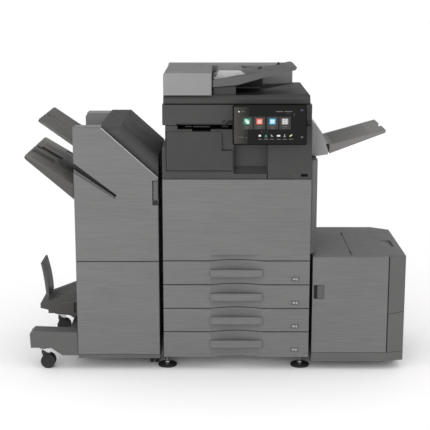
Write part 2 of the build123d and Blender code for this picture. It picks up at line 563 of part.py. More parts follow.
LID_T = 12.0
with BuildPart() as lcc_lid:
    lid = [(LCC_LID_X + SEAM, cover_back + SEAM), (FACET_INNER_X - SEAM, cover_back + SEAM),
           (FACET_INNER_X - SEAM, FACET_BACK + SEAM), (LCC_R, FACET_BACK + SEAM),
           (LCC_R, LCC_LID_Y), (LCC_LID_X + SEAM, LCC_LID_Y)]
    prism(plan(LCC_TOP - LID_T), lid, LID_T)
    block((LCC_R - 10, LCC_R), (FACET_BACK + SEAM, LCC_LID_Y), (LCC_SIDE_SEAM + SEAM, LCC_TOP - LID_T))
    # sloping finger recess that deepens to the right under a lip
    prism(front(190), [(613, LCC_TOP + 1), (613, LCC_TOP), (664, LCC_TOP - 9), (668, LCC_TOP - 9),
                       (668, LCC_TOP - 5), (664, LCC_TOP + 1)], -117, Mode.SUBTRACT)
save(lcc_lid, "lcc_lid")

with BuildPart() as lcc_latch:
    block((330, LATCH_X[1] - 1), (LCC_F - 1, LCC_F + 7), (LATCH_Z[0] + 1.5, LATCH_Z[1] - 1.5))
    fillet(lcc_latch.edges().group_by(Axis.Y)[0], 2)
    for rib in range(7):
        z = LATCH_Z[0] + 8 + 7 * rib
        block((334, LATCH_X[1] - 4), (LCC_F - 2, LCC_F), (z, z + 2.5), Mode.SUBTRACT)
save(lcc_latch, "lcc_latch")

with BuildPart() as lcc_lift_plate:
    block((LCC_L + 22, LCC_R - 34), (60, 440), (LCC_PLINTH + 16, LCC_PLINTH + 19))
    block((480, 560), (40.5, 60), (LCC_PLINTH + 16, LCC_PLINTH + 19))
save(lcc_lift_plate, "lcc_lift_plate")

with BuildPart() as lcc_casters:
    for x in (345, 650):
        for y in (125, 470):
            fixed_caster(x, y, 15, LCC_Z - 0.2)
save(lcc_casters, "lcc_casters")

# ============================================================================================
# Finisher on the left
# ============================================================================================
FIN_SKIN = 6.0
REAR_BOX_Y = 431.0
LEDGE_BACK = 88.0
FIN_DROP = (FIN_TOP - FIN_CUT_Z) / (FIN_R - FIN_CUT_X)    # fall of the sloping edge per millimetre


def slope_z(x):
    """Height of the front cover's sloping edge over X."""
    return FIN_TOP - FIN_DROP * (x - FIN_CUT_X)


with BuildPart() as finisher_cabinet:
    shell_y = (PANEL_T + 4, FIN_D)
    shell = [(FIN_L + 2, FIN_SKIRT + 15), (FIN_R, FIN_SKIRT + 15), (FIN_R, slope_z(FIN_R) - 22),
             (FIN_CUT_X - 2, FIN_TOP - 22), (FIN_CUT_X - 2, FIN_TOP - 6), (FIN_L + 2, FIN_TOP - 6)]
    prism(front(shell_y[0]), shell, -(shell_y[1] - shell_y[0]))
    cavity = [(FIN_L + 2 + FIN_SKIN, FIN_SKIRT + 21), (FIN_R - FIN_SKIN, FIN_SKIRT + 21),
              (FIN_R - FIN_SKIN, slope_z(FIN_R) - 30), (FIN_CUT_X - 8, FIN_TOP - 32),
              (FIN_L + 2 + FIN_SKIN, FIN_TOP - 32)]
    prism(front(shell_y[0] - 1), cavity, shell_y[0] - shell_y[1] + FIN_SKIN, Mode.SUBTRACT)
    # shelf between the stapler space and the booklet space
    block((FIN_L + 4, FIN_R - 2), (shell_y[0] + 4, shell_y[1]), (FIN_SEAM - 8, FIN_SEAM - 2))
    # the left side stands open over the upper tray, in front of the tall box at the rear
    block((FIN_L - 1, FIN_CUT_X + 1), (shell_y[0] - 1, REAR_BOX_Y), (960, FIN_TOP + 1), Mode.SUBTRACT)
    block((FIN_L + 8, FIN_CUT_X - 2), (REAR_BOX_Y, 520), (FIN_TOP - 8, FIN_TOP + 6))
    # floor of that space, the box's front wall, and the ledge that backs the door's top edge
    block((FIN_L + 4, FIN_CUT_X + 4), (shell_y[0], REAR_BOX_Y + 4), (956, 960))
    block((FIN_L + 8, FIN_CUT_X - 2), (REAR_BOX_Y, REAR_BOX_Y + 5), (956, FIN_TOP - 6))
    block((FIN_L + 2, FIN_CUT_X - 1), (shell_y[0], LEDGE_BACK), (FIN_TOP - 7, FIN_TOP - 1))
    for x in (FIN_L + 2, FIN_CUT_X - 7):
        block((x, x + 6), (shell_y[0], LEDGE_BACK), (956, FIN_TOP - 6))
    # sheet slots to the upper tray and to the stack tray
    block((FIN_L - 1, FIN_L + 12), (70, 410), (934, 950), Mode.SUBTRACT)
    block((FIN_L - 1, FIN_L + 12), (60, 500), (800, 850), Mode.SUBTRACT)
    block((FIN_L - 1, FIN_L + 12), (190, 390), (300, 340), Mode.SUBTRACT)
    # skirt
    block((FIN_L, FIN_R), (4, FIN_D), (FIN_SKIRT, FIN_SKIRT + 16))
save(finisher_cabinet, "finisher_cabinet")

LEVER_X, LEVER_Z = (-334.0, FIN_R), (697.0, 794.0)
with BuildPart() as finisher_upper_door:
    prism(front(PANEL_T), [(FIN_L, FIN_SEAM + SEAM), (FIN_R, FIN_SEAM + SEAM), (FIN_R, FIN_CUT_Z),
                           (FIN_CUT_X, FIN_TOP), (FIN_L, FIN_TOP)], PANEL_T)
    chamfer(finisher_upper_door.edges().group_by(Axis.Y)[0], 2)
    # wedge-shaped slot beside the stack tray
    prism(front(PANEL_T + 1), [(FIN_L - 1, 868), (FIN_L - 1, 828), (-488, 722), (-480, 737)], PANEL_T + 2,
          Mode.SUBTRACT)
    block((LEVER_X[0] - 3, FIN_R + 1), (-1, PANEL_T + 1), (LEVER_Z[0] - 2, LEVER_Z[1] + 2), Mode.SUBTRACT)
save(finisher_upper_door, "finisher_upper_door")

with BuildPart() as finisher_lower_door:
    block((FIN_L, FIN_R), (0, PANEL_T), (FIN_SKIRT + 17.5, FIN_SEAM - SEAM))
    chamfer(finisher_lower_door.edges().group_by(Axis.Y)[0], 2)
save(finisher_lower_door, "finisher_lower_door")

with BuildPart() as finisher_release_lever:
    block((LEVER_X[0], LEVER_X[1]), (3, 18), LEVER_Z)
    fillet(finisher_release_lever.edges().group_by(Axis.Y)[0], 3)
    block((LEVER_X[0] - 1, LEVER_X[1] + 1), (2, 12), (LEVER_Z[0] + 3, LEVER_Z[0] + 18), Mode.SUBTRACT)
save(finisher_release_lever, "finisher_release_lever")

HOOD_Y = (30.0, 520.0)
HOOD_WALL = 5.0
HOOD_FRONT = 42.0      # thickness of the front wall, enough for its rounded rim
HOOD_ROLL = 40.0
with BuildPart() as finisher_hood:
    drop = 4.0                        # the hood's rim hides behind the door's sloping edge
    prism(front(HOOD_Y[0]), [(FIN_R, slope_z(FIN_R) - drop), (FIN_R, 889), (-457, HOOD_TOP),
                             (FIN_CUT_X, HOOD_TOP), (FIN_CUT_X, slope_z(FIN_CUT_X) - drop)],
          HOOD_Y[0] - HOOD_Y[1])
    # the front face rolls over into the top and the slope
    fillet(finisher_hood.edges().group_by(Axis.Y)[0].sort_by(Axis.Z)[-3::2], HOOD_ROLL)
    prism(front(HOOD_Y[0] + HOOD_FRONT), [(FIN_R - HOOD_WALL, slope_z(FIN_R) - 12),
                                          (FIN_R - HOOD_WALL, 884), (-459, HOOD_TOP - HOOD_WALL),
                                          (-530, HOOD_TOP - HOOD_WALL), (-532, slope_z(-532) - 12)],
          HOOD_Y[0] - HOOD_Y[1] + HOOD_FRONT + HOOD_WALL, Mode.SUBTRACT)
save(finisher_hood, "finisher_hood")

UPPER_TIP = (-793.0, 1027.0)
UPPER_ROOT = (-653.0, 926.0)
UPPER_Y = (50.0, 480.0)
STACK_TIP = (-848.0, 885.0)
STACK_Y = (12.0, 556.0)


def round_tip(tray, radius):
    """Round the two corners of a tray's outer end."""
    fillet(tray.faces().sort_by(Axis.X)[0].edges().sort_by(SortBy.LENGTH)[:2], radius)


def trough(start, end, y, radius, depth):
    """Round-bottomed channel down a tray's sheet face between two points of X and Z."""
    run = hypot(end[0] - start[0], end[1] - start[1])
    along = ((end[0] - start[0]) / run, (end[1] - start[1]) / run)
    rise = radius - depth
    rod((start[0] + along[1] * rise, y, start[1] - along[0] * rise), radius, run,
        (along[0], 0, along[1]), Mode.SUBTRACT)


with BuildPart() as finisher_upper_tray:
    prism(front(UPPER_Y[0]), [UPPER_ROOT, (-653, 944), (-688, 966),
                              (UPPER_TIP[0] + 4, UPPER_TIP[1] + 8), UPPER_TIP], UPPER_Y[0] - UPPER_Y[1])
    round_tip(finisher_upper_tray, 14)
    # finger notch in the outer edge and a soft valley between the two halves of the sheet face
    prism(front(236), [(-797, 1030), (-770, 1013), (-770, 1050), (-797, 1050)], -28, Mode.SUBTRACT)
    trough((-640, 933.2), (-766, 1019.3), 300, 45, 5)
save(finisher_upper_tray, "finisher_upper_tray")

with BuildPart() as finisher_stack_tray:
    prism(front(STACK_Y[0]), [(-653, 718), (-653, 776), (-700, 806),
                              (STACK_TIP[0] + 3, STACK_TIP[1] + 8), STACK_TIP], STACK_Y[0] - STACK_Y[1])
    round_tip(finisher_stack_tray, 18)
    # finger notch, deep channel behind the middle, twin grooves and a shallow bed in front of it
    prism(front(284), [(-853, 888), (-822, 871), (-822, 920), (-853, 920)], -30, Mode.SUBTRACT)
    trough((-738, 828.8), (-824, 880.4), 325, 40, 10)
    for y in (208, 226):
        trough((-756, 839.6), (-836, 887.6), y, 6, 3.5)
    prism(front(142), [(-752, 833.7), (-838, 885.3), (-838, 920), (-752, 900)], -54, Mode.SUBTRACT)
    # hollow by the rear end of the root
    prism(front(476), [(-704, 804), (-746, 829.2), (-746, 900), (-704, 900)], -62, Mode.SUBTRACT)
save(finisher_stack_tray, "finisher_stack_tray")

SADDLE_Y = (200.0, 400.0)
with BuildPart() as saddle_tray:
    prism(front(SADDLE_Y[0]), [(-652, 290), (-792, 237), (-812, 231), (-833, 226), (-833, 206),
                               (-792, 196), (-770, 180), (-652, 168)], SADDLE_Y[0] - SADDLE_Y[1])
    block((-660, -650), (SADDLE_Y[0] + 15, SADDLE_Y[1] - 15), (186, 262), Mode.SUBTRACT)
    block((-690, -655), (SADDLE_Y[0] - 1, SADDLE_Y[0] + 12), (186, 232), Mode.SUBTRACT)
save(saddle_tray, "saddle_tray")

with BuildPart() as saddle_stopper:
    with BuildSketch(front(230)) as stop_outline:
        with BuildLine():
            ThreePointArc((-799, 246), (-806, 320), (-824, 397))
            Line((-824, 397), (-831, 396))
            ThreePointArc((-831, 396), (-818, 320), (-811, 240))
            Line((-811, 240), (-799, 246))
        make_face()
    extrude(stop_outline.sketch, amount=-140)
save(saddle_stopper, "saddle_stopper")

ARM_X = -849.0
ARM_ROWS = ((6.0, 76.0), (484.0, 554.0))
with BuildPart() as finisher_base_arms:
    for y0, y1 in ARM_ROWS:
        prism(front(y0), [(ARM_X + 3, 94), (-764, 94), (-716, 62), (FIN_L - 2, 62), (FIN_L - 2, 160),
                          (ARM_X + 14, 166), (ARM_X, 154)], y0 - y1)
    block((-700, FIN_L - 2), (ARM_ROWS[0][1], ARM_ROWS[1][0]), (70, 140))
save(finisher_base_arms, "finisher_base_arms")

CASTER_X = -800.0
CASTER_R = 30.0
AXLE_X = CASTER_X + 20                 # the wheels trail behind the swivel
SWIVEL_TOP = 93.6
for label, arm_y in (("front", 41.0), ("rear", 519.0)):
    with BuildPart() as caster_fork:
        rod((CASTER_X, arm_y, SWIVEL_TOP - 6), 18, 6, (0, 0, 1))
        rod((CASTER_X, arm_y, SWIVEL_TOP - 14), 12, 9, (0, 0, 1))
        web_y = (arm_y - 5, arm_y + 5)
        block((CASTER_X - 6, AXLE_X + 8), web_y, (CASTER_R + 12, SWIVEL_TOP - 12))
        block((AXLE_X - 8, AXLE_X + 8), web_y, (CASTER_R, CASTER_R + 13))
        rod((AXLE_X, arm_y - 5, CASTER_R), 8, 10, (0, 1, 0))
        rod((AXLE_X, arm_y - 6, CASTER_R), 4, 12, (0, 1, 0), Mode.SUBTRACT)
    save(caster_fork, f"caster_{label}_fork")
    with BuildPart() as caster_wheel:
        rod((AXLE_X, arm_y - 18, CASTER_R), 4 - RUN_FIT, 36, (0, 1, 0))
        for start in (-18, 6):
            rod((AXLE_X, arm_y + start, CASTER_R), CASTER_R, 12, (0, 1, 0))
    save(caster_wheel, f"caster_{label}_wheel")

with BuildPart() as finisher_right_casters:
    for y in (102, 500):
        fixed_caster(-342, y, 23, FIN_SKIRT - 0.2)
save(finisher_right_casters, "finisher_right_casters")
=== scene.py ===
import math

import bmesh
import bpy
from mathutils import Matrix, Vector


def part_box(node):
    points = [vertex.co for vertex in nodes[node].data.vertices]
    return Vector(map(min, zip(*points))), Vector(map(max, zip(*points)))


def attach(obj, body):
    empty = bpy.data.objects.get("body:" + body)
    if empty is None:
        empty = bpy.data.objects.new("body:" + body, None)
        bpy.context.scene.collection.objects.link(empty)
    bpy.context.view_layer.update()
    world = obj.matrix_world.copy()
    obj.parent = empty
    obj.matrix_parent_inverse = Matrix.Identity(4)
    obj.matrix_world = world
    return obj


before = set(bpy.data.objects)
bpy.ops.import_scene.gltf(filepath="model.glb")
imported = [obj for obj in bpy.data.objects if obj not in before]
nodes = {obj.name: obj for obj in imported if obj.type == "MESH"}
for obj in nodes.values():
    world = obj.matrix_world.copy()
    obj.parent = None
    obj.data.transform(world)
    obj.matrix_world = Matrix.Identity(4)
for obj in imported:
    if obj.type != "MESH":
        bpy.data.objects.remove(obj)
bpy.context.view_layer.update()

# Camera: the photograph's viewing angle, a little above the machine and far in front of it
SENSOR = 36.0
LENS = 91.5
CAMERA_PLACE = (0.0079, -4.5334, 1.5813)
CAMERA_PITCH = math.radians(12.20)
CAMERA_YAW = 0.0036

scene = bpy.context.scene
camera_data = bpy.data.cameras.new("camera")
camera_data.lens = LENS
camera_data.sensor_width = SENSOR
camera = bpy.data.objects.new("camera", camera_data)
camera.location = CAMERA_PLACE
camera.rotation_euler = (math.pi / 2 - CAMERA_PITCH, 0.0, CAMERA_YAW)
scene.collection.objects.link(camera)
scene.camera = camera
scene.view_settings.view_transform = "Standard"

# Floor and light: a plain pale studio
SKY = 1.22             # brightness of the white surroundings
DUSK = 0.30            # and of the part low behind the object, which would only glare off its tops
FLOOR_HALF = 40.0
FLOOR_SHADE = 0.93


def map_range(tree, value, low, high, start, stop):
    """Map a number that runs from start to stop onto the range low to high."""
    made = tree.nodes.new("ShaderNodeMapRange")
    for key, number in (("From Min", start), ("From Max", stop), ("To Min", low), ("To Max", high)):
        made.inputs[key].default_value = number
    tree.links.new(value, made.inputs["Value"])
    return made.outputs["Result"]


def studio():
    """Pale floor, white surroundings, one large soft light in front and a fill at the right."""
    world = bpy.data.worlds.new("studio")
    world.use_nodes = True
    tree = world.node_tree
    facing = tree.nodes.new("ShaderNodeSeparateXYZ")
    tree.links.new(tree.nodes.new("ShaderNodeTexCoord").outputs["Generated"], facing.inputs["Vector"])
    share = None
    for axis, start, stop, low, high in (("Y", 0.1, 0.5, 0.0, 1.0), ("Z", 0.35, 0.75, 1.0, 0.0),
                                         ("Z", 0.01, 0.04, 0.0, 1.0)):
        reach = map_range(tree, facing.outputs[axis], low, high, start, stop)
        if share is None:
            share = reach
        else:
            both = tree.nodes.new("ShaderNodeMath")
            both.operation = "MULTIPLY"
            tree.links.new(share, both.inputs[0])
            tree.links.new(reach, both.inputs[1])
            share = both.outputs["Value"]
    strength = map_range(tree, share, SKY, DUSK, 0.0, 1.0)
    background = tree.nodes["Background"]
    background.inputs["Color"].default_value = (1.0, 1.0, 1.0, 1.0)
    tree.links.new(strength, background.inputs["Strength"])
    scene.world = world

    mesh = bpy.data.meshes.new("floor")
    corners = [(x * FLOOR_HALF, y * FLOOR_HALF, 0) for x, y in ((-1, -1), (1, -1), (1, 1), (-1, 1))]
    mesh.from_pydata(corners, [], [(0, 1, 2, 3)])
    floor = bpy.data.objects.new("floor", mesh)
    scene.collection.objects.link(floor)
    paper = bpy.data.materials.new("floor_paper")
    paper.use_nodes = True
    shader = paper.node_tree.nodes["Principled BSDF"]
    shader.inputs["Base Color"].default_value = (FLOOR_SHADE, FLOOR_SHADE, FLOOR_SHADE, 1.0)
    shader.inputs["Roughness"].default_value = 0.9
    shader.inputs["Specular IOR Level"].default_value = 0.2
    mesh.materials.append(paper)

    for name, place, target, size, power in (
            ("key", (-1.8, -4.4, 1.5), (0.0, 0.0, 0.75), 2.4, 62.0),
            ("fill_right", (3.4, -2.6, 1.2), (0.2, 0.0, 0.5), 2.0, 6.0)):
        light = bpy.data.lights.new(name, "AREA")
        light.shape = "SQUARE"
        light.size = size
        light.energy = power
        lamp = bpy.data.objects.new(name, light)
        lamp.location = place
        lamp.rotation_euler = (Vector(target) - Vector(place)).to_track_quat("-Z", "Y").to_euler()
        scene.collection.objects.link(lamp)


studio()

# Materials, all from nodes


class Surface:
    """A procedural material: its shader, and short ways to add and join nodes."""

    def __init__(self, name, roughness, metallic=0.0, **sockets):
        self.material = bpy.data.materials.new(name)
        self.material.use_nodes = True
        self.tree = self.material.node_tree
        self.shader = self.tree.nodes["Principled BSDF"]
        self.shader.inputs["Roughness"].default_value = roughness
        self.shader.inputs["Metallic"].default_value = metallic
        for socket, value in sockets.items():
            self.shader.inputs[socket.replace("_", " ")].default_value = value
        self.place = self.node("ShaderNodeTexCoord").outputs["Object"]

    def node(self, kind, **settings):
        made = self.tree.nodes.new(kind)
        for key, value in settings.items():
            if key in made.inputs:
                made.inputs[key].default_value = value
            else:
                setattr(made, key, value)
        return made

    def link(self, start, end):
        self.tree.links.new(start, end)

    def noise(self, scale, detail, rough=0.5):
        """Noise over object coordinates stretched along each axis."""
        mapping = self.node("ShaderNodeMapping", Scale=scale)
        self.link(self.place, mapping.inputs["Vector"])
        made = self.node("ShaderNodeTexNoise", Scale=1.0, Detail=detail, Roughness=rough)
        self.link(mapping.outputs["Vector"], made.inputs["Vector"])
        return made.outputs["Fac"]

    def ramp(self, value, low, high, start=0.35, stop=0.65):
        """Spread value from low to high, both colours."""
        made = self.node("ShaderNodeValToRGB")
        for stage, spot, color in zip(made.color_ramp.elements, (start, stop), (low, high)):
            stage.position = spot
            stage.color = (*color, 1.0)
        self.link(value, made.inputs["Fac"])
        return made.outputs["Color"]

    def overlay(self, first, second, factor):
        made = self.node("ShaderNodeMix", data_type="RGBA", blend_type="OVERLAY", Factor=factor)
        self.link(first, made.inputs["A"])
        self.link(second, made.inputs["B"])
        return made.outputs["Result"]

    def span(self, value, low, high, start=0.3, stop=0.7):
        return map_range(self.tree, value, low, high, start, stop)

    def bump(self, value, strength, distance, below=None):
        made = self.node("ShaderNodeBump", Strength=strength, Distance=distance)
        self.link(value, made.inputs["Height"])
        if below is not None:
            self.link(below, made.inputs["Normal"])
        return made.outputs["Normal"]

    def finish(self, color, rough=None, normal=None):
        self.link(color, self.shader.inputs["Base Color"])
        if rough is not None:
            self.link(rough, self.shader.inputs["Roughness"])
        if normal is not None:
            self.link(normal, self.shader.inputs["Normal"])
        return self.material


PLASTIC_GLOSS = 0.3        # specular level of plastics, rubber and film
DISPLAY_GLOSS = 0.15
GRAIN_DEPTH = 0.0003       # metres
FINE_GRAIN = 1400.0        # grains over a metre
REFLECTION_WIDTH = 0.062         # metres across the display


def grey(value, warm=0.0):
    """A grey as linear colour, a touch warmer where warm is positive."""
    return (value * (1 + warm), value, value * (1 - warm))


def brushed_panel():
    """Dark silver film with fine horizontal streaks of uneven length."""
    s = Surface("brushed_panel", roughness=0.45, Specular_IOR_Level=PLASTIC_GLOSS)
    long_streak = s.noise((9, 9, 420), detail=3, rough=0.65)
    fine_streak = s.noise((26, 26, 1300), detail=2, rough=0.5)
    patch = s.noise((2.5, 2.5, 7), detail=2)
    base = s.ramp(long_streak, grey(0.106, 0.008), grey(0.140, 0.008), 0.3, 0.7)
    fine = s.ramp(fine_streak, grey(0.44), grey(0.56), 0.3, 0.7)
    color = s.overlay(base, fine, 0.5)
    drift = s.ramp(patch, grey(0.47), grey(0.53), 0.3, 0.7)
    color = s.overlay(color, drift, 0.6)
    rough = s.span(fine_streak, 0.38, 0.52)
    normal = s.bump(fine_streak, 0.1, GRAIN_DEPTH, s.bump(long_streak, 0.08, 0.0006))
    return s.finish(color, rough, normal)


def moulded(name, value, warm=0.0, roughness=0.5, grain=FINE_GRAIN, spread=0.05, bump=0.16):
    """Moulded plastic: fine spark-eroded grain, slight drift in shade, faint rub marks in the gloss."""
    s = Surface(name, roughness=roughness, Specular_IOR_Level=PLASTIC_GLOSS)
    fine = s.noise((grain, grain, grain), detail=2, rough=0.6)
    drift = s.noise((4, 4, 4), detail=3)
    rub = s.noise((22, 22, 22), detail=4, rough=0.65)
    base = s.ramp(drift, grey(value * (1 - spread), warm), grey(value * (1 + spread), warm))
    speck = s.ramp(fine, grey(0.46), grey(0.54))
    color = s.overlay(base, speck, 0.5)
    rough = s.span(rub, roughness - 0.06, roughness + 0.07)
    return s.finish(color, rough, s.bump(fine, bump, GRAIN_DEPTH))


def metal(name, value, roughness):
    """Plated or coated sheet metal with a soft spangle."""
    s = Surface(name, roughness=roughness, metallic=1.0)
    spangle = s.noise((60, 60, 60), detail=4, rough=0.7)
    scratch = s.noise((900, 30, 900), detail=2)
    color = s.ramp(spangle, grey(value * 0.88), grey(value * 1.08))
    rough = s.span(spangle, roughness - 0.07, roughness + 0.1)
    return s.finish(color, rough, s.bump(scratch, 0.08, 0.0002))


def rubber(name, value):
    """Rubber with a dusty bloom."""
    s = Surface(name, roughness=0.75, Specular_IOR_Level=PLASTIC_GLOSS)
    dust = s.noise((45, 45, 45), detail=5, rough=0.7)
    fine = s.noise((900, 900, 900), detail=2)
    color = s.ramp(dust, grey(value), grey(value * 1.9, 0.03), 0.4, 0.85)
    return s.finish(color, s.span(dust, 0.65, 0.85), s.bump(fine, 0.2, GRAIN_DEPTH))


def gloss_black(name, value, roughness, level):
    """Black glossy plastic or glass with faint finger smears in its gloss."""
    s = Surface(name, roughness=roughness, Specular_IOR_Level=level)
    smear = s.noise((18, 18, 9), detail=5, rough=0.6)
    color = s.ramp(smear, grey(value, 0.05), grey(value * 1.6, 0.05))
    return s.finish(color, s.span(smear, roughness, roughness + 0.1))


def coloured(name, low, high):
    """Plain moulded plastic in a colour, with a fine grain and a slight drift."""
    s = Surface(name, roughness=0.45, Specular_IOR_Level=PLASTIC_GLOSS)
    drift = s.noise((30, 30, 30), detail=3)
    fine = s.noise((FINE_GRAIN, FINE_GRAIN, FINE_GRAIN), detail=2)
    return s.finish(s.ramp(drift, low, high), s.span(drift, 0.4, 0.53), s.bump(fine, 0.15, GRAIN_DEPTH))


def lit(name, low, high):
    """Part of the display that glows, a little uneven as a backlight is."""
    s = Surface(name, roughness=0.35, Specular_IOR_Level=DISPLAY_GLOSS, Emission_Strength=1.0)
    uneven = s.noise((160, 160, 160), detail=2)
    color = s.ramp(uneven, low, high)
    s.link(color, s.shader.inputs["Emission Color"])
    return s.finish(s.ramp(uneven, grey(0.01), grey(0.015)))


def clear_glass():
    """Platen glass, slightly green at depth."""
    s = Surface("clear_glass", roughness=0.03, IOR=1.5, Transmission_Weight=1.0)
    dust = s.noise((60, 60, 60), detail=4, rough=0.7)
    color = s.ramp(dust, (0.86, 0.93, 0.9), (0.93, 0.97, 0.95))
    return s.finish(color, s.span(dust, 0.02, 0.09, 0.4, 0.9))


def display_painted_reflection():
    """Painted reflection on the display: a pale glow down its left side, fading away to the right."""
    s = Surface("display_painted_reflection", roughness=0.35, Specular_IOR_Level=DISPLAY_GLOSS, Emission_Strength=1.0)
    axes = s.node("ShaderNodeSeparateXYZ")
    s.link(s.place, axes.inputs["Vector"])
    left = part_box("touch_screen")[0][0]
    fade = s.span(axes.outputs["X"], 0.0, 1.0, left, left + REFLECTION_WIDTH)
    glow = s.ramp(fade, (0.062, 0.058, 0.054), grey(0.004), 0.0, 1.0)
    s.link(glow, s.shader.inputs["Emission Color"])
    cloud = s.noise((60, 60, 60), detail=3)
    return s.finish(s.ramp(cloud, grey(0.003), grey(0.006)))


MATERIALS = {
    "brushed": brushed_panel(),
    "dark": moulded("dark_plastic", 0.034, 0.02),
    "housing": moulded("housing_plastic", 0.036, 0.02),
    "darker": moulded("darker_plastic", 0.014, 0.02),
    "cover_grey": moulded("cover_grey", 0.082, 0.012),
    "feed_grey": moulded("feed_grey", 0.205, -0.004, 0.42),
    "fence_grey": moulded("fence_grey", 0.48, 0.0, 0.45),
    "guide_grey": moulded("guide_grey", 0.25),
    "exit_grey": moulded("exit_grey", 0.235),
    "relay": moulded("relay_cover_plastic", 0.030, 0.02),
    "tray": moulded("tray_plastic", 0.088, 0.03, 0.48),
    "exit_tray": moulded("exit_tray_plastic", 0.146, 0.02, 0.48),
    "saddle": moulded("saddle_plastic", 0.058, 0.03, 0.48),
    "lid_grey": moulded("lid_grey", 0.124, 0.01),
    "facet_grey": moulded("facet_grey", 0.089, 0.012),
    "feed_top_shaded": moulded("feed_top_painted_shade", 0.142, -0.004, 0.45),
    "rear_box_painted_light": moulded("rear_box_painted_light", 0.205, 0.0, 0.48),
    "bed": moulded("tray_bed_painted_light", 0.185, 0.03),
    "hood_top_shaded": moulded("hood_top_painted_shade", 0.021, 0.03),
    "hood_slope_lit": moulded("hood_slope_painted_light", 0.043, 0.02),
    "painted_trough_shade": moulded("tray_trough_painted_shade", 0.03, 0.05),
    "doc_tray": moulded("document_tray_plastic", 0.078, 0.01, 0.48),
    # painted light: the feeder's rear housing gets a lighter grey, against the shade the document tray casts
    # on it
    "rear_housing_lit": moulded("rear_housing_painted_light", 0.17, 0.01),
    "black": moulded("black_plastic", 0.008),
    "bezel": gloss_black("black_gloss", 0.0035, 0.12, 0.05),
    "screen": gloss_black("screen_glass", 0.003, 0.08, 0.15),
    "glass": clear_glass(),
    "steel": metal("frame_steel", 0.5, 0.42),
    "bright": metal("bright_steel", 0.65, 0.2),
    "pad": moulded("pad_foam", 0.75, 0.01, 0.8, 500.0, 0.03, 0.3),
    "roller": rubber("roller_rubber", 0.03),
    "wheel": rubber("wheel_rubber", 0.012),
    "foot": moulded("foot_black", 0.014, 0.01),
    "toner": moulded("toner_bottle", 0.03, 0.0, 0.35),
    "cyan": coloured("cap_cyan", (0.0, 0.17, 0.42), (0.0, 0.21, 0.48)),
    "magenta": coloured("cap_magenta", (0.40, 0.01, 0.12), (0.46, 0.015, 0.15)),
    "yellow": coloured("cap_yellow", (0.62, 0.40, 0.01), (0.70, 0.46, 0.015)),
    "green": coloured("handle_green", (0.02, 0.16, 0.06), (0.03, 0.2, 0.08)),
    "mark": moulded("printed_mark", 0.55),
    "faint_mark": moulded("faint_mark", 0.30),
    "mark_frame": moulded("mark_frame", 0.07),
    "card": lit("display_card", (0.028, 0.028, 0.026), (0.036, 0.036, 0.034)),
    "painted_reflection": display_painted_reflection(),
    "smudge": lit("display_caption", (0.10, 0.10, 0.095), (0.15, 0.15, 0.14)),
    "ui_white": lit("display_white", grey(0.80), grey(0.9)),
    "ui_green": lit("display_green", (0.02, 0.26, 0.17), (0.03, 0.32, 0.21)),
    "ui_mint": lit("display_mint", (0.42, 0.85, 0.66), (0.48, 0.9, 0.72)),
    "ui_red": lit("display_red", (0.60, 0.10, 0.07), (0.68, 0.13, 0.09)),
    "ui_rose": lit("display_rose", (0.85, 0.38, 0.32), (0.9, 0.44, 0.38)),
    "ui_blue": lit("display_blue", (0.03, 0.30, 0.55), (0.05, 0.36, 0.62)),
    "ui_sky": lit("display_sky", (0.32, 0.75, 0.9), (0.38, 0.82, 0.95)),
    "ui_grey": lit("display_grey", (0.34, 0.33, 0.33), (0.40, 0.39, 0.39)),
    "ui_yellow": lit("display_yellow", (0.75, 0.72, 0.42), (0.82, 0.8, 0.5)),
    "ui_violet": lit("display_violet", (0.07, 0.07, 0.12), (0.09, 0.09, 0.16)),
}

# CAD nodes by material
NODES_OF = {
    "steel": "main_frame lcc_lift_plate",
    "cover_grey": "left_side_cover right_side_cover right_door bypass_tray lcc_cabinet lcc_latch "
                  "finisher_cabinet finisher_release_lever saddle_stopper finisher_base_arms",
    "dark": "rear_cover inner_front_cover",
    "toner": "toner_cartridges",
    "black": "fuser_unit scan_carriage panel_bracket tray_1_box tray_2_box tray_3_box tray_4_box",
    "brushed": "front_cover lcc_front_cover finisher_upper_door finisher_lower_door tray_1_front "
               "tray_2_front tray_3_front tray_4_front",
    "housing": "in_body_housing scanner_housing adf_base finisher_hood",
    "relay": "relay_unit_cover",
    "bezel": "power_key control_panel",
    "glass": "platen_glass",
    "screen": "touch_screen",
    "pad": "adf_platen_pad",
    "roller": "adf_feed_roller",
    # painted light: lighter grey on the rear housing, which sits in the tray's shade
    "rear_housing_lit": "adf_rear_housing",
    "feed_grey": "adf_feed_cover",
    "doc_tray": "adf_document_tray",
    "fence_grey": "document_guide_front",
    "guide_grey": "document_guide_rear",
    "foot": "levelling_feet",
    "wheel": "main_casters lcc_casters caster_front_wheel caster_rear_wheel finisher_right_casters",
    "exit_grey": "right_exit_unit",
    "exit_tray": "right_exit_tray",
    "lid_grey": "lcc_lid",
    "tray": "finisher_upper_tray finisher_stack_tray",
    "saddle": "saddle_tray",
    "bright": "caster_front_fork caster_rear_fork",
}


def dress_nodes():
    """Give each CAD node its material."""
    for key, names in NODES_OF.items():
        for name in names.split():
            data = nodes[name].data
            data.materials.clear()
            data.materials.append(MATERIALS[key])
            for polygon in data.polygons:
                polygon.material_index = 0


def repaint(name, key, chosen):
    """Give the faces of a CAD node that meet a test of centre and normal another material."""
    data = nodes[name].data
    data.materials.append(MATERIALS[key])
    for polygon in data.polygons:
        if chosen(polygon.center, polygon.normal):
            polygon.material_index = len(data.materials) - 1


def tray_depth(spot, ends):
    """Depth below a tray's sheet face, whose line over X and Z runs between ends in millimetres."""
    (x0, z0), (x1, z1) = ends
    across = (spot.x - MID_X) * 1000 - x0
    down = z0 + (z1 - z0) / (x1 - x0) * across - spot.z * 1000
    return down / math.hypot(1, (z1 - z0) / (x1 - x0))


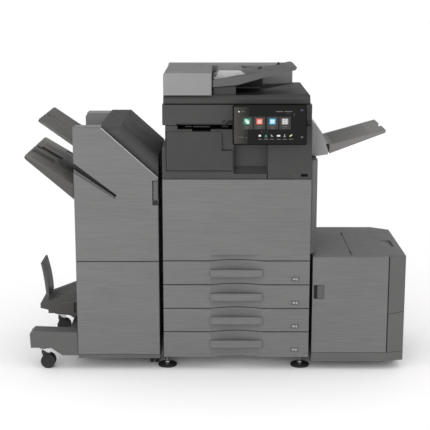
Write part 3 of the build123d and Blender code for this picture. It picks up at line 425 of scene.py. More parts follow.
def repaint_nodes():
    """Other materials on faces within one piece: the parts' own shades, and painted light and shade on tops,
    fronts, grooves and hollows.
    """
    repaint("lcc_front_cover", "facet_grey", lambda c, n: c.x - MID_X > FACET_X)
    # painted shade: the floor of the groove beside the facet gets the darker plastic
    repaint("lcc_front_cover", "darker", lambda c, n: GROOVE[0] < c.x - MID_X < GROOVE[1] and n.y < -0.9)
    repaint("lcc_cabinet", "lid_grey", lambda c, n: n.x > 0.5 or n.z > 0.5 and c.z > LID_LEVEL)
    repaint("lcc_cabinet", "facet_grey", lambda c, n: c.z < PLINTH_TOP)
    # painted shade: the feed cover's upward faces get a darker copy of its grey
    repaint("adf_feed_cover", "feed_top_shaded", lambda c, n: n.z > 0.7)
    # painted light: the box behind the hood gets a lighter grey than the cabinet, against the shade the hood
    # and door cast on it
    repaint("finisher_cabinet", "rear_box_painted_light", lambda c, n: c.z > REAR_BOX_FOOT)
    # painted shade and light: the hood's flat top gets a darker copy of its plastic, its slope a lighter one
    repaint("finisher_hood", "hood_top_shaded", lambda c, n: n.z > 0.95)
    repaint("finisher_hood", "hood_slope_lit", lambda c, n: n.x > 0.2 and 0.5 < n.z < 0.95)
    # painted light: the stack tray's upward faces get a lighter plastic; painted shade: its front faces get
    # the darker saddle plastic
    repaint("finisher_stack_tray", "bed", lambda c, n: n.z > 0.5)
    repaint("finisher_stack_tray", "saddle", lambda c, n: n.y < -0.5)
    # painted shade: upward faces in the trays' hollows, between these depths below the sheet face, get a
    # darker plastic
    low, high = TROUGH_DEPTHS
    for name, ends in (("finisher_upper_tray", UPPER_TRAY), ("finisher_stack_tray", STACK_TRAY)):
        repaint(name, "painted_trough_shade", lambda c, n: n.z > 0.2 and low < tray_depth(c, ends) < high)


# Mesh pieces, placed in millimetres from the foot of the copier's front
front_low, front_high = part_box("front_cover")
MID_X = (front_low[0] + front_high[0]) / 2
FRONT_Y = front_low[1]
SMOOTH_ANGLE = math.radians(40)
CORNER_STEPS, BEVEL_STEPS = 4, 2
DRAWERS = (1, 2, 3, 4)
# the deck's facet, the groove beside it, its plinth and lid, and the box behind the hood, in metres
FACET_X, GROOVE, PLINTH_TOP, LID_LEVEL, REAR_BOX_FOOT = 0.6215, (0.6165, 0.6225), 0.0745, 0.4, 0.962
# foot and top of the sheet faces of the finisher's two trays, X and Z, and the depths below them between
# which faces in their hollows get painted shade
UPPER_TRAY = ((-690.0, 966.6), (-789.0, 1035.5))
STACK_TRAY = ((-700.0, 806.0), (-845.0, 893.0))
TROUGH_DEPTHS = (4.0, 14.0)

dress_nodes()
repaint_nodes()


def mm(x, y, z):
    """Row-frame point from millimetres right of, behind and above the foot of the copier's front."""
    return Vector((MID_X + x / 1000, FRONT_Y + y / 1000, z / 1000))


def rounded(x, z, radius):
    """Outline of a rectangle with round corners, from pairs of limits."""
    points = []
    for cx, cz, start in ((x[1] - radius, z[1] - radius, 0), (x[0] + radius, z[1] - radius, 1),
                          (x[0] + radius, z[0] + radius, 2), (x[1] - radius, z[0] + radius, 3)):
        for k in range(CORNER_STEPS + 1):
            turn = (start + k / CORNER_STEPS) * math.pi / 2
            points.append((cx + radius * math.cos(turn), cz + radius * math.sin(turn)))
    return points


def ring(x, z, radius, count, squash=1.0):
    """Outline of a circle, or of an ellipse where squash isn't 1."""
    turns = [2 * math.pi * k / count for k in range(count)]
    return [(x + radius * math.cos(turn), z + radius * squash * math.sin(turn)) for turn in turns]


class Shape:
    """A mesh put together from solids with softened edges."""

    def __init__(self, place=mm):
        self.mesh = bmesh.new()
        self.place = place
        self.paint = 0

    def close(self, faces, bevel):
        for face in faces:
            face.material_index = self.paint
        bmesh.ops.recalc_face_normals(self.mesh, faces=faces)
        if bevel:
            edges = list({edge for face in faces for edge in face.edges})
            sharp = [edge for edge in edges if edge.calc_face_angle(0.0) > SMOOTH_ANGLE]
            bmesh.ops.bevel(self.mesh, geom=sharp, offset=bevel / 1000, segments=BEVEL_STEPS, profile=0.5,
                            affect="EDGES", clamp_overlap=True)
        return self

    def skin(self, rows, bevel):
        """Close rows of points into a solid: the first and last row are its ends."""
        rows = [[self.mesh.verts.new(self.place(*spot)) for spot in row] for row in rows]
        faces = [self.mesh.faces.new(rows[0]), self.mesh.faces.new(rows[-1])]
        count = len(rows[0])
        for low, high in zip(rows, rows[1:]):
            for k in range(count):
                j = (k + 1) % count
                faces.append(self.mesh.faces.new((low[k], low[j], high[j], high[k])))
        return self.close(faces, bevel)

    def prism(self, outline, axis, start, stop, bevel):
        """Outline pulled along an axis: pairs are y z for x, x z for y, and x y for z."""
        at = "xyz".index(axis)
        return self.skin([[(*pair[:at], t, *pair[at:]) for pair in outline] for t in (start, stop)], bevel)

    def slab(self, x, z, radius, axis, start, stop, bevel):
        return self.prism(rounded(x, z, radius), axis, start, stop, bevel)

    def box(self, x, y, z, bevel):
        return self.prism([(x[0], z[0]), (x[1], z[0]), (x[1], z[1]), (x[0], z[1])], "y", *y, bevel)

    def lathe(self, profile, centre, axis, steps):
        """Turn pairs of radius and height round an axis through centre; both ends are closed."""
        at = "xyz".index(axis)
        rows = [[(*pair[:at], height, *pair[at:]) for pair in ring(0, 0, radius, steps)]
                for radius, height in profile]
        return self.skin([[[a + b for a, b in zip(centre, spot)] for spot in row] for row in rows], 0)

    def piece(self, name, body, slot, *materials):
        """Finish the mesh as an object that rides on a body."""
        for edge in self.mesh.edges:
            edge.smooth = len(edge.link_faces) == 2 and edge.calc_face_angle(0.0) < SMOOTH_ANGLE
        for face in self.mesh.faces:
            face.smooth = True
        data = bpy.data.meshes.new(name)
        self.mesh.to_mesh(data)
        self.mesh.free()
        for key in materials:
            data.materials.append(MATERIALS[key])
        thing = bpy.data.objects.new(name, data)
        scene.collection.objects.link(thing)
        weighted = thing.modifiers.new("even_normals", "WEIGHTED_NORMAL")
        weighted.keep_sharp = True
        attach(thing, body)


# Control panel: what the display shows, and the marks on its rim
glass = nodes["touch_screen"].data
SCREEN_NORMAL = max((p for p in glass.polygons if p.normal.y < -0.5), key=lambda p: p.area).normal.copy()
SCREEN_UP = SCREEN_NORMAL.cross(Vector((1, 0, 0)))
lift = max(v.co.dot(SCREEN_NORMAL) for v in glass.vertices)
face_points = [v.co for v in glass.vertices if lift - v.co.dot(SCREEN_NORMAL) < 0.0001]
SCREEN_MIDDLE = SCREEN_NORMAL * lift
for axis in (SCREEN_UP, Vector((1, 0, 0))):
    reaches = [point.dot(axis) for point in face_points]
    SCREEN_MIDDLE += axis * ((min(reaches) + max(reaches)) / 2)


def on_screen(across, out, up):
    """Row-frame point from millimetres across, out of and up the display, from its middle."""
    return SCREEN_MIDDLE + (Vector((across, 0, 0)) + SCREEN_NORMAL * out + SCREEN_UP * up) / 1000


TILE_UP, ICON_UP = 12.5, -42.0
TILES = [(across, TILE_UP) for across in (-87.5, -39.2, 11.0, 59.4)]     # middles on the display
ICONS = [(across, ICON_UP) for across in (-37.2, -14.0, 9.2, 34.7, 57.9, 82.7)]
# heights off the display between which its plates lie
REFLECTION_LAYER, RIM, BASE, CARD = (0.01, 0.05), (0.02, 0.06), (0.06, 0.10), (0.10, 0.14)
TILE, MARK, TOP = (0.10, 0.15), (0.15, 0.19), (0.19, 0.23)
COLOURS = ("painted_reflection", "card", "smudge", "ui_green", "ui_mint", "ui_red", "ui_rose",
           "ui_blue", "ui_sky", "ui_grey", "ui_white", "ui_yellow", "ui_violet")


def display():
    """Four tiles on cards, a row of small icons, status marks and a painted reflection down the left;
    pictures only, no lettering.
    """
    s = Shape(on_screen)

    def plate(colour, layer, points, at=(0, 0)):
        s.paint = COLOURS.index(colour)
        s.prism([(at[0] + a, at[1] + b) for a, b in points], "y", *layer, 0)

    def bar(colour, layer, across, up, radius, at=(0, 0)):
        plate(colour, layer, rounded([at[0] + a for a in across], [at[1] + b for b in up], radius))

    # painted reflection: a lighter band down the left side of the display
    plate("painted_reflection", REFLECTION_LAYER, [(-137, 68), (-78, 68), (-84, -20), (-86, -73), (-137, -73)])
    for x, _ in TILES:
        bar("card", BASE, (x - 22, x + 22), (-18, 31), 2.0)
        bar("smudge", CARD, (x - 9, x + 9), (-8.6, -6.2), 1.0)
        bar("smudge", CARD, (x - 6, x + 6), (-14.2, -12.4), 0.8)
    for tile, colour in zip(TILES, ("ui_green", "ui_red", "ui_blue", "ui_grey")):
        bar(colour, TILE, (-12.5, 12.5), (-11.5, 11.5), 2.5, tile)
    # two overlapping sheets
    bar("ui_mint", MARK, (-8, 2), (-3, 9), 1.5, TILES[0])
    bar("ui_white", TOP, (-2.5, 8), (-9, 4), 1.5, TILES[0])
    # a sheet below a slanting lid
    bar("ui_rose", MARK, (-8.5, 8.5), (-8.5, 7.5), 1.5, TILES[1])
    plate("ui_white", TOP, [(-6, -3), (5, 4.5), (6.2, 3), (-5, -4.6)], TILES[1])
    # a window of four panes
    bar("ui_sky", MARK, (-9, 9), (-8, 8), 1.5, TILES[2])
    for across in ((-6, -0.6), (0.6, 6)):
        bar("ui_white", TOP, across, (1, 5.5), 0.8, TILES[2])
        bar("ui_white", TOP, across, (-5.5, -1), 0.8, TILES[2])
    # a grid of dots
    for a in (-6.5, 0, 6.5):
        for b in (-6.5, 0, 6.5):
            bar("ui_white", MARK, (a - 2, a + 2), (b - 2, b + 2), 0.7, TILES[3])
    # status bar
    bar("ui_white", CARD, (-121.5, -115.5), (48.2, 52.8), 1.6)
    bar("smudge", CARD, (-110, -96), (49.4, 51.6), 1.0)
    for across in ((24, 53), (58, 88)):
        bar("smudge", CARD, across, (49.2, 52.6), 1.4)
    bar("card", CARD, (66, 80), (41.5, 44), 1.0)
    for b in (34, 38, 42):
        bar("smudge", CARD, (93, 97), (b, b + 1.4), 0.6)
    for a, radius in ((-30, 1.8), (-18, 1.1), (-8, 1.1)):
        plate("smudge", BASE, ring(a, -27, radius, 14))
    # small icons and their captions
    for x, _ in ICONS:
        bar("smudge", BASE, (x - 8, x + 8), (-57.5, -54.6), 1.2)
    bar("ui_white", BASE, (-5.5, 4), (-4, 3), 2.0, ICONS[0])
    plate("ui_green", BASE, [(-6, -4), (6, -4), (0, 5)], ICONS[1])
    plate("card", (0.06, 0.09), ring(ICONS[1][0], -50, 5, 18))
    plate("ui_grey", BASE, [(-4, -4), (6, -4), (1, 0), (-1, 4), (-4, 4)], ICONS[2])
    bar("ui_white", BASE, (-6.5, 6.5), (-3.4, 2.6), 1.6, ICONS[3])
    plate("ui_grey", BASE, ring(0, 3, 2.2, 14), ICONS[4])
    plate("ui_grey", BASE, [(-4.5, -5), (4.5, -5), (2, 0), (-2, 0)], ICONS[4])
    plate("ui_yellow", BASE, [(-6, -4), (-2, -4), (6, 3), (3, 5), (-5, 0)], ICONS[5])
    # job marks at the foot
    bar("smudge", BASE, (-118, -100), (-49, -46.6), 1.0)
    bar("card", BASE, (-116, -103), (-53, -51), 0.9)
    plate("smudge", BASE, ring(-89, -49, 1.8, 14))
    # home mark and sleep mark beside the display
    plate("ui_violet", RIM, [(118, 53.5), (132, 53.5), (125, 61)])
    plate("smudge", RIM, ring(125, -48, 5, 20, 0.7))
    s.piece("display_picture", "panel", "screen_glass", *COLOURS)


display()


def panel_details():
    """Slim seam, speaker slots and a rating-plate blank on the back of the panel."""
    s = Shape(on_screen)
    s.slab((-100, 100), (-52, 48), 6, "y", -19.6, -17.8, 0.6)
    for k in range(9):
        s.slab((-88 + 7 * k, -84.5 + 7 * k), (-44, -22), 1.6, "y", -20.4, -19.2, 0.3)
    s.piece("panel_back_cover", "panel", "black_plastic", "black")


panel_details()

# Document feeder


def feeder():
    s = Shape()
    s.prism([(0.6, 1147.6), (108.4, 1147.6), (108.4, 1197.4), (0.6, 1168.2)], "y", 255.2, 257.7, 0.4)
    s.box((0.6, 97), (227, 240), (1139.4, 1140.9), 0.3)
    for x in (14, 36, 58, 80):
        s.box((x, x + 9), (250.5, 255.4), (1147.4, 1160), 0.8)
    s.piece("eject_throat", "feeder", "black_plastic", "darker")

    # painted highlight: a light grey strip along the front edge of the eject ledge
    Shape().box((-1.6, 97.6), (223.6, 226.2), (1143.2, 1147.4), 0.8).piece(
        "eject_ledge_painted_highlight", "feeder", "mid_grey_plastic", "cover_grey")

    # ribs in the catcher below the tray
    s = Shape()
    s.box((2, 84), (230, 233), (1117.6, 1119.6), 0.5)
    s.box((2, 170), (372, 375), (1117.6, 1119.6), 0.5)
    s.piece("catcher_ribs", "feeder", "dark_plastic", "dark")

    s = Shape()
    for x in (-210, 180):
        s.prism([(560, 1102), (587, 1102), (587, 1148), (578, 1160), (560, 1160)], "x", x - 32, x + 32, 2.0)
    s.piece("feeder_hinge_caps", "feeder", "dark_plastic", "darker")

    # handle plate on the feed cover and ribs below it
    Shape().slab((-270, -214), (40, 70), 4, "z", 1220.2, 1221.6, 0.5).piece(
        "feed_cover_handle", "feed_cover", "light_grey_plastic", "feed_grey")
    s = Shape()
    for y in range(60, 450, 26):
        s.box((-262, -112), (y, y + 2.4), (1186, 1191), 0.4)
    s.piece("feed_cover_ribs", "feed_cover", "black_plastic", "black")

    # tyre treads and gear of the feed roller
    s = Shape()
    for y in (200, 270):
        for x, z in ring(-165, 1176, 15.1, 20):
            s.prism(ring(x, z, 0.9, 6), "y", y + 1.2, y + 28.8, 0)
    s.piece("feed_roller_treads", "feed_roller", "roller_rubber", "roller")
    s = Shape()
    teeth = [(-165 + r * math.cos(2 * math.pi * k / 48), 1176 + r * math.sin(2 * math.pi * k / 48))
             for k, r in enumerate([11.6, 11.6, 9.4, 9.4] * 12)]
    s.prism(teeth, "y", 382, 389, 0.2)
    s.piece("feed_roller_gear", "feed_roller", "roller_rubber", "mark")


def tray_height(x):
    """Height of the document tray's sheet bed over X."""
    return 1186 + (x + 96) * 23 / 156 if x < 60 else 1209 + (x - 60) * 36 / 153


def over_bed(*points):
    """Points given as X and height over the sheet bed."""
    return [(x, tray_height(x) + lift) for x, lift in points]


def document_tray():
    s = Shape()
    for y in (120, 180, 240):
        outline = over_bed((-74, -0.6), (58, -0.6), (196, -0.6), (192, 1.1), (58, 1.3), (-70, 1.3))
        s.prism(outline, "y", y, y + 4, 0.4)
    s.piece("document_tray_ribs", "document_tray", "mid_grey_plastic", "doc_tray")
    s = Shape()
    s.prism(over_bed((88, -1), (106, -1), (106, 7), (96, 8), (88, 4)), "y", 262, 276, 1.2)
    s.prism(over_bed((164, -1), (182, -1), (179, 7), (173, 11), (167, 7)), "y", 246, 262, 1.5)
    s.piece("sheet_length_flags", "document_tray", "dark_plastic", "dark")
    s = Shape()
    for y, reach in ((44, 200), (462, 30)):
        outline = over_bed((-84, 4), (reach, 1.5), (reach, 3), (-84, 6.6))
        s.prism(outline, "y", y - 1.5, y + 1.5, 0.4)
    s.piece("document_tray_edges", "document_tray", "mid_grey_plastic", "cover_grey")


def guides():
    """Broad foot plate and a finger tab on each guide."""
    for name, body, y, inward, key in (("front", "guide_front", 112, 1, "fence_grey"),
                                       ("rear", "guide_rear", 370, -1, "guide_grey")):
        s = Shape()
        inner = y + 6 if inward > 0 else y
        outline = over_bed((-92, 2.0), (10, 2.0), (10, 3.6), (-92, 3.6))
        s.prism(outline, "y", *sorted((inner, inner + 44 * inward)), 0.5)
        s.piece(f"guide_{name}_foot", body, "light_grey_plastic", key)
        Shape().prism([(-10, 1209), (8, 1209), (4, 1219), (-6, 1219)], "y", y - 1.6, y + 7.6, 0.8).piece(
            f"guide_{name}_grip", body, "light_grey_plastic", key)


feeder()
document_tray()
guides()

# Copier: scanner, exit, side and rear details


def screws(name, body, axis, size, out, xs, ys, zs):
    """Low domed screw heads with a recess, facing out along an axis, wherever the given places cross."""
    dome = [(size * width, height * out) for width, height in
            ((1, 0), (1, 0.5), (0.86, 1.1), (0.5, 1.5), (0.3, 1.55), (0.3, 0.9))]
    s = Shape()
    for x in xs:
        for y in ys:
            for z in zs:
                s.lathe(dome, (x, y, z), axis, 20)
    s.piece(name, body, "frame_steel", "bright")


def slats(name, body, slot, count, span, foot, wide, step, radius, axis, start, stop, bevel=0.3):
    """Row of round-ended slats, one above another."""
    s = Shape()
    for k in range(count):
        s.prism(rounded(span, (foot + step * k, foot + wide + step * k), radius), axis, start, stop, bevel)
    s.piece(name, body, slot, "darker")


def copier_details():
    s = Shape()
    for x in (-205, -60):
        s.box((x, x + 26), (14, 60), (1008.5, 1013.1), 0.6)
    s.box((-174, -108), (9, 22), (1008.2, 1013.4), 0.8)
    s.piece("scanner_underside_blocks", "copier", "black_plastic", "black")

    # painted shade: a black plate behind the raised part of the scanner's lip
    Shape().box((-46, 280), (14.2, 16.6), (1018.6, 1036.4), 0.3).piece(
        "scanner_lip_painted_shade", "copier", "black_plastic", "black")

    # tab below the scanner's lip, beside the panel
    s = Shape()
    s.prism([(-60, 1019), (-47, 1019), (-44, 1034), (-50, 1040), (-57, 1038)], "y", 1.2, 3.4, 0.6)
    s.piece("scanner_lock_tab", "copier", "dark_plastic", "darker")

    # scale frame round the platen and its marks
    s = Shape()
    for x, y in (((-240, -232), (56, 388)), ((216, 224), (56, 388)), ((-240, 224), (384, 392))):
        s.box(x, y, (1096.8, 1097.6), 0.25)
    s.piece("platen_scales", "copier", "light_grey_plastic", "fence_grey")
    s = Shape()
    for k in range(40):
        s.box((-230 + 11 * k, -229.3 + 11 * k), (385.4, 389 if k % 5 else 390.6), (1097.5, 1097.8), 0)
    s.piece("platen_scale_marks", "copier", "black_plastic", "black")

    # size marks at the right of each drawer: two sheets, one lying and one standing
    for number in DRAWERS:
        foot = 386.0 - 100 * (number - 1)
        s = Shape()
        s.slab((229, 240), (foot + 1, foot + 7.5), 0.8, "y", -0.35, 0.2, 0)
        s.slab((243, 249), (foot - 0.5, foot + 8.5), 0.8, "y", -0.35, 0.2, 0)
        s.paint = 1
        s.slab((222, 256), (foot - 6, foot + 14), 1.5, "y", -0.2, 0.2, 0)
        s.paint = 2
        s.slab((223.2, 254.8), (foot - 4.8, foot + 12.8), 1.0, "y", -0.28, 0.15, 0)
        s.piece(f"drawer_{number}_size_mark", f"drawer_{number}", "light_grey_plastic",
                "faint_mark", "mark_frame", "cover_grey")

    s = Shape()
    for x in (232, 241):
        s.prism(ring(x, 816.5, 1.3, 16), "y", 5.2, 6.4, 0.2)
    s.piece("status_lamps", "copier", "dark_plastic", "green")

    # rear: screws, port plate with its sockets, duct slats
    screws("rear_screws", "copier", "y", 4.2, 1, (-284, -100, 90, 284), (598.4,), (78, 400, 720, 990))
    Shape().slab((-262, -120), (842, 962), 5, "y", 597.6, 599.4, 0.5).piece(
        "port_plate", "copier", "black_plastic", "black")
    s = Shape()
    for x, z, w, h in ((-246, 930, 16, 14), (-222, 930, 16, 14), (-198, 934, 14, 6), (-178, 934, 14, 6),
                       (-246, 900, 40, 12), (-198, 902, 24, 8), (-246, 868, 56, 14)):
        s.slab((x, x + w), (z, z + h), 1.2, "y", 598.6, 599.9, 0.4)
    s.piece("port_sockets", "copier", "frame_steel", "steel")
    slats("rear_duct_slats", "copier", "dark_plastic", 11,
          (150, 270), 860, 3.4, 9, 1.4, "y", 598.2, 599.8, 0.4)
    Shape().slab((-60, 60), (240, 430), 6, "y", 598.6, 599.9, 0.6).piece(
        "rear_filter_door", "copier", "dark_plastic", "dark")

    # vent slots and screws on the left, behind the finisher
    slats("left_vent_slats", "copier", "mid_grey_plastic", 12,
          (420, 540), 560, 5, 12, 2.2, "x", -297.3, -296.2)
    screws("left_screws", "copier", "x", 3.6, -1, (-295.8,), (60, 560), (90, 440, 780))


def right_side():
    # bypass tray: grip rim and bed ribs; right door: pull and hinge caps
    Shape().slab((236, 304), (752, 772), 4, "x", 323.6, 325.2, 0.4).piece(
        "bypass_grip_rim", "bypass", "mid_grey_plastic", "dark")
    s = Shape()
    for y in (150, 390):
        for z in (600, 640, 680, 720):
            s.slab((y - 18, y + 18), (z, z + 2), 0.9, "x", 316.4, 317.8, 0.3)
    s.piece("bypass_bed_ribs", "bypass", "mid_grey_plastic", "dark")
    s = Shape()
    s.slab((63.5, 82.5), (652, 698), 3, "x", 309.2, 310.6, 0.4)
    s.prism([(66, 655), (80, 655), (80, 695), (66, 695)], "x", 310.4, 316, 1.5)
    s.piece("right_door_pull", "right_door", "dark_plastic", "darker")
    s = Shape()
    for z in (520, 832):
        s.slab((452, 486), (z, z + 22), 3, "x", 324.2, 325.8, 0.5)
    s.piece("right_door_hinge_caps", "right_door", "mid_grey_plastic", "dark")
    s = Shape()
    for y in range(90, 440, 24):
        s.box((300.5, 305.9), (y, y + 2.2), (524, 842), 0.5)
    s.piece("right_door_ribs", "right_door", "black_plastic", "black")

    # exit unit: slot lip and sheet flags
    Shape().box((343, 372.4), (120, 450), (925.4, 928.2), 0.6).piece(
        "exit_slot_lip", "copier", "light_grey_plastic", "exit_grey")
    s = Shape()
    for y in (170, 270, 370):
        s.prism([(340, 941), (360, 934), (362, 936), (342, 943)], "y", y, y + 5, 0.4)
    s.piece("exit_flags", "copier", "black_plastic", "black")


copier_details()
right_side()

# Behind the front cover: toner caps, cover panels, levers
BOTTLES = (-165, -55, 55, 165)


def engine():
    for x, key in zip(BOTTLES, ("yellow", "magenta", "cyan", "toner")):
        s = Shape()
        rim = [(40, -2.4), (40, 4), (37, 6.4), (34.6, 6.4), (34.6, -2.4)]
        s.lathe(rim, (x, 36, 722), "y", 48)
        s.box((x - 16, x + 16), (28.6, 31.4), (718.6, 725.4), 1.2)
        s.piece(f"toner_cap_{BOTTLES.index(x) + 1}", "copier", "toner_plastic", key)
    s = Shape()
    for x in (-110, 0, 110):
        s.box((x - 2, x + 2), (41.5, 44), (640, 772), 0.8)
    s.slab((-240, 240), (530, 640), 8, "y", 41.6, 44.2, 0.8)
    s.piece("engine_cover_panels", "copier", "dark_plastic", "darker")
    s = Shape()
    for x in (-190, 30):
        s.prism([(x, 562), (x + 70, 562), (x + 78, 572), (x + 78, 590), (x, 590)], "y", 33, 42, 2.0)
    s.piece("engine_levers", "copier", "dark_plastic", "green")
    screws("engine_screws", "copier", "y", 3.6, -1, (-256, 256), (44.3,), (500, 640, 780))


engine()


def drawers():
    """Fence pads and rail rollers in each drawer."""
    for number in DRAWERS:
        low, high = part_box(f"tray_{number}_box")
        bottom, top = low[2] * 1000, high[2] * 1000
        body = f"drawer_{number}"
        s = Shape()
        for y in (94.5, 416.5):
            for x in (-30, 50, 130):
                s.box((x, x + 14), (y - 1.8, y + 1.3), (bottom + 14, top - 12), 0.6)
        s.piece(f"drawer_{number}_fence_pads", body, "light_grey_plastic", "green")
        s = Shape()
        for x in (-251.6, 247.6):
            for y in (60, 470):
                s.lathe([(2, -1.6), (7, -1.2), (7, 4.8), (2, 5.2)], (x, y, bottom + 10), "x", 24)
        s.piece(f"drawer_{number}_rollers", body, "roller_rubber", "mark")


drawers()

# Finisher
PADDLE_SHARE, PADDLE_REACH, HUB_SHIFT = 0.08, 0.25, 0.11     # along the stack tray
PADDLE_Y, PADDLE_HALF = 266.0, 64.0


def slope(ends, share, lift=0.0):
    """Point part of the way up a tray's sheet face."""
    (x0, z0), (x1, z1) = ends
    return x0 + (x1 - x0) * share, z0 + (z1 - z0) * share + lift


def tray_rib(s, ends, span, y, wide, low, high):
    """Rib lying along a tray's sheet face between two shares of its length."""
    a, b = slope(ends, span[0]), slope(ends, span[1])
    s.prism([(a[0], a[1] + low), (b[0], b[1] + low), (b[0], b[1] + high), (a[0], a[1] + high)], "y",
            y - wide / 2, y + wide / 2, 0.4)


def output_trays():
    s = Shape()
    for y in (120, 190, 400):
        tray_rib(s, UPPER_TRAY, (0.1, 0.74), y, 3, -3, 1.0)
    s.piece("upper_tray_ribs", "finisher", "tray_plastic", "tray")

    s = Shape()
    for y in (70, 416, 452):
        tray_rib(s, STACK_TRAY, (0.1, 0.86), y, 3.5, -3, 1.3)
    for y in (316, 334):
        tray_rib(s, STACK_TRAY, (0.3, 0.82), y, 3, -14, -6.5)
    s.piece("stack_tray_ribs", "stack_tray", "tray_plastic", "tray")

    # tail paddle: an oval plate over the foot of the tray, with a smaller oval hub
    s = Shape()
    for reach, low, high, paint in ((1.0, 0.4, 3.4, 0), (0.42, 3.2, 5.6, 1)):
        s.paint = paint
        rows = []
        for lift in (low, high):
            row = []
            for a, b in ring(0, 0, reach, 32):
                x, z = slope(STACK_TRAY, PADDLE_SHARE + PADDLE_REACH * a - paint * HUB_SHIFT, lift)
                row.append((x, PADDLE_Y + PADDLE_HALF * b, z))
            rows.append(row)
        s.skin(rows, 0.8)
    s.piece("stack_tray_paddle", "stack_tray", "tray_plastic", "tray", "saddle")

    # rollers and their shafts at the slots
    s = Shape()
    for y in (130, 230, 330, 430):
        s.lathe([(3, -14), (9, -13), (9.6, 0), (9, 13), (3, 14)], (-640, y, 941.5), "y", 28)
    s.piece("upper_exit_rollers", "finisher", "roller_rubber", "roller")
    s = Shape()
    for y in (120, 210, 350, 440):
        s.lathe([(4, -16), (13, -15), (13.8, 0), (13, 15), (4, 16)], (-632, y, 862), "y", 28)
    s.piece("stack_exit_rollers", "finisher", "roller_rubber", "roller")
    s = Shape()
    s.lathe([(3.2, 0), (3.2, 452)], (-632, 54, 862), "y", 16)
    s.lathe([(2.6, 0), (2.6, 380)], (-640, 60, 941.5), "y", 16)
    s.piece("exit_shafts", "finisher", "frame_steel", "bright")


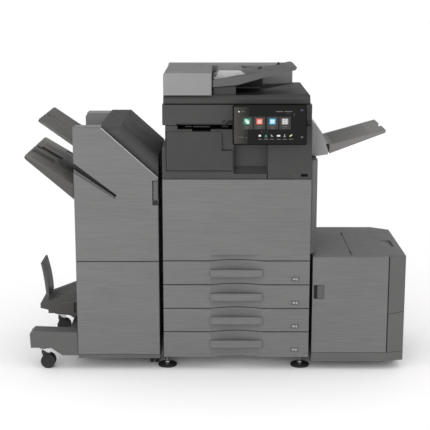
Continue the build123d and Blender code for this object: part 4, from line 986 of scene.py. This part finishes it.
def finisher():
    # painted highlight: a fine bright line along the sloping edge of the upper door, set just behind its
    # bevel
    s = Shape()
    s.prism([(-538.5, 1008.6), (-314.4, 807.3), (-314.4, 804.6), (-539.4, 1006.2)], "y", 1.4, 3.8, 0.3)
    s.piece("door_edge_painted_highlight", "finisher_upper_door", "light_grey_plastic", "fence_grey")

    # painted shade: a black plate at the back of the wedge-shaped slot; and the sloping lip along its lower
    # side
    Shape().prism([(-649.4, 866), (-649.4, 830.5), (-489.2, 724.6), (-482, 736)], "y", 22.5, 25.6, 0.2).piece(
        "slot_painted_shade", "finisher_upper_door", "black_plastic", "black")
    Shape().prism([(-649.4, 841), (-649.4, 827), (-487.5, 720), (-486.4, 728.6)], "y", 4, 23, 0.5).piece(
        "slot_lip", "finisher_upper_door", "mid_grey_plastic", "cover_grey")

    # pad of the release lever and the shadow under it
    Shape().slab((-331, -317), (719, 790), 3, "y", 2.2, 3.6, 0.5).piece(
        "release_lever_pad", "release_lever", "mid_grey_plastic", "cover_grey")
    Shape().box((-330, -318), (8.5, 12.4), (701.5, 713.5), 0.5).piece(
        "release_lever_shadow", "release_lever", "black_plastic", "black")

    # stapler and booklet units, with their levers, dials and plates, seen with the doors open
    s = Shape()
    s.prism([(-600, 560), (-470, 560), (-450, 590), (-450, 700), (-600, 700)], "y", 60, 180, 3.0)
    s.slab((-596, -480), (610, 690), 6, "y", 52, 61, 1.5)
    s.piece("stapler_unit", "finisher", "black_plastic", "darker")
    s = Shape()
    s.slab((-586, -500), (630, 672), 5, "y", 46, 53, 1.5)
    s.prism([(-440, 640), (-380, 640), (-372, 652), (-380, 664), (-440, 664)], "y", 44, 56, 2.0)
    s.prism([(-440, 520), (-380, 520), (-372, 532), (-380, 544), (-440, 544)], "y", 44, 56, 2.0)
    s.piece("jam_levers", "finisher", "dark_plastic", "green")
    s = Shape()
    for x, z in ((-420, 700), (-380, 740), (-350, 600)):
        s.lathe([(4, 0), (17, 1), (17, 9), (13, 10), (13, 14), (6, 15)], (x, 44, z), "y", 32)
    s.piece("jam_dials", "finisher", "dark_plastic", "dark")
    s = Shape()
    s.slab((-640, -324), (480, 500), 4, "y", 48, 54, 1.0)
    s.prism([(-452, 500), (-330, 500), (-330, 780), (-344, 790), (-452, 700)], "y", 56, 60, 1.5)
    s.piece("stapler_space_plates", "finisher", "frame_steel", "steel")
    s = Shape()
    s.prism([(-620, 120), (-400, 120), (-380, 150), (-380, 380), (-400, 400), (-620, 400)], "y", 58, 70, 3.0)
    s.piece("booklet_unit_plate", "finisher", "frame_steel", "steel")
    s = Shape()
    for x, z in ((-560, 330), (-450, 200), (-450, 330)):
        s.lathe([(4, 0), (22, -1), (22, -9), (16, -11), (16, -15), (6, -16)], (x, 58, z), "y", 36)
    s.piece("booklet_dials", "finisher", "dark_plastic", "green")
    Shape().slab((-600, -500), (160, 250), 8, "y", 48, 59, 2.0).piece(
        "booklet_stitcher", "finisher", "black_plastic", "darker")

    # hinges, screws and slats on the left and rear
    s = Shape()
    for z in (430, 500):
        s.box((-650.2, -647.4), (29.8, 42), (z, z + 22), 0.8)
    s.piece("door_hinges", "finisher", "frame_steel", "bright")
    screws("finisher_side_screws", "finisher", "x", 3.8, -1, (-647.8,), (48, 540), (90, 380, 560, 740))
    screws("finisher_rear_screws", "finisher", "y", 4.0, 1, (-636, -330), (559.8,), (90, 430, 760))
    slats("finisher_rear_slats", "finisher", "mid_grey_plastic", 10,
          (-560, -430), 600, 4.6, 12, 2.2, "y", 559.2, 560.5)

    s = Shape()
    for x in (-520, -480):
        s.prism([(505, 1010), (519, 1010), (519, 1017), (505, 1017.8)], "x", x, x + 22, 0.8)
    s.piece("hood_hinge_covers", "hood", "dark_plastic", "darker")

    # saddle and stopper: ribs and pivot
    s = Shape()
    for y in (230, 270, 310, 350):
        s.prism([(-664, 284.4), (-786, 238.6), (-786, 240.6), (-664, 287.6)], "y", y, y + 3, 0.4)
    s.prism([(-668, 240), (-760, 224), (-760, 222), (-668, 236)], "y", 198.6, 200.6, 0.4)
    s.piece("saddle_ribs", "finisher", "tray_plastic", "tray")
    Shape().lathe([(2, -74), (5, -73), (5, 73), (2, 74)], (-805, 300, 246), "y", 24).piece(
        "stopper_pivot", "stopper", "mid_grey_plastic", "cover_grey")
    s = Shape()
    for y in (250, 300, 350):
        points = [(-801.6, 262), (-806.6, 320), (-823, 390), (-825, 389.4), (-808.8, 320), (-803.8, 262)]
        s.prism(points, "y", y - 1.5, y + 1.5, 0.3)
    s.piece("stopper_ribs", "stopper", "mid_grey_plastic", "cover_grey")

    s = Shape()
    for y in (41, 519):
        s.slab((-838, -700), (y - 27, y + 27), 8, "z", 159.4, 161.2, 0.6)
    s.piece("arm_caps", "finisher", "mid_grey_plastic", "cover_grey")


output_trays()
finisher()

# Paper deck


def deck():
    s = Shape()
    for y in (70, 400):
        s.lathe([(1.5, 0), (4.2, 0.5), (4.2, 35.5), (1.5, 36)], (470.3, y, 478.6), "y", 20)
    s.piece("lid_hinge_knuckles", "deck", "dark_plastic", "dark")
    screws("deck_rear_screws", "deck", "y", 4.0, 1, (340, 470, 600), (558.8,), (90, 430))
    slats("deck_rear_slats", "deck", "mid_grey_plastic", 8, (360, 480), 380, 4.6, -12, 2.2, "y", 558.2, 559.5)
    # lift rails seen with the lid open
    s = Shape()
    for y in (52, 486):
        s.box((468, 474), (y, y + 6), (96, 440), 1.0)
        s.box((566, 572), (y, y + 6), (96, 440), 1.0)
    s.piece("deck_lift_rails", "deck", "frame_steel", "bright")
    # painted shadow behind the latch
    Shape().box((316.2, 329), (17.2, 19.6), (305.5, 361.5), 0.4).piece(
        "latch_painted_shadow", "deck", "black_plastic", "black")


deck()

# Casters and feet


def hub(s, x, y, z, radius, axis, out):
    """Raised rim, dished web and axle cap on a wheel's outer face."""
    profile = [(radius * width, height * out) for width, height in
               ((0.94, 0), (0.94, 0.8), (0.78, 1.2), (0.7, 0.3), (0.34, 0.3), (0.3, 1.6), (0.12, 2.0))]
    s.lathe(profile, (x, y, z), axis, 40)


def casters():
    for name, y in (("front", 41.0), ("rear", 519.0)):
        s = Shape()
        for side in (-1, 1):
            hub(s, -780, y + 18 * side, 30, 29.4, "y", side)
        for x, z in ring(-780, 30, 15.4, 6):
            for side in (-1, 1):
                s.prism(ring(x, z, 2.4, 14), "y", y + 18.2 * side, y + 19.4 * side, 0.2)
        s.piece(f"caster_{name}_hubs", f"{name}_wheel", "wheel_rubber", "foot")
        s = Shape()
        s.lathe([(8, 0), (15.6, -0.5), (15.6, 3.5), (8, 4)], (-800, y, 83.4), "z", 36)
        s.prism([(-807, 58), (-795, 44), (-770, 44), (-768, 52), (-786, 66), (-800, 76), (-807, 76)], "y",
                y - 5.7, y + 5.7, 1.4)
        s.piece(f"caster_{name}_yoke_cover", f"{name}_fork", "bright_steel", "dark")
    for group, body, rows, radius in (
            ("copier", "copier", [(x, y) for x in (-200, 200) for y in (185, 510)], 25.0),
            ("deck", "deck", [(x, y) for x in (345, 650) for y in (125, 470)], 15.0),
            ("finisher", "finisher", [(-342, 102), (-342, 500)], 23.0)):
        s = Shape()
        for x, y in rows:
            for side in (-1, 1):
                hub(s, x + 16.6 * side, y, radius, radius * 0.96, "x", side)
        s.piece(f"{group}_caster_hubs", body, "wheel_rubber", "foot")


def feet():
    s = Shape()
    for x in (-286, 267):
        for y in (67, 540):
            for size, start, low, high in ((13, 0, 11.2, 19), (12, 0.4, 46, 53.5)):
                turns = [math.pi * k / 3 + start for k in range(6)]
                nut = [(x + size * math.cos(turn), y + size * math.sin(turn)) for turn in turns]
                s.prism(nut, "z", low, high, 0.8)
            for k in range(12):
                s.lathe([(6.9, 0), (7.9, 0.5), (7.9, 0.9), (6.9, 1.4)], (x, y, 20.5 + 2.0 * k), "z", 24)
    s.piece("feet_studs", "copier", "frame_steel", "bright")
    s = Shape()
    for x in (-286, 267):
        for y in (67, 540):
            s.lathe([(29, 0), (38.2, 0), (39.0, -1.4), (38.6, -3.0), (29, -3.2)], (x, y, 7.6), "z", 56)
            for a, b in ring(x, y, 31, 16):
                s.prism(ring(a, b, 1.6, 8), "z", 6.9, 8.4, 0.3)
    s.piece("feet_pads", "copier", "foot_black", "foot")


casters()
feet()
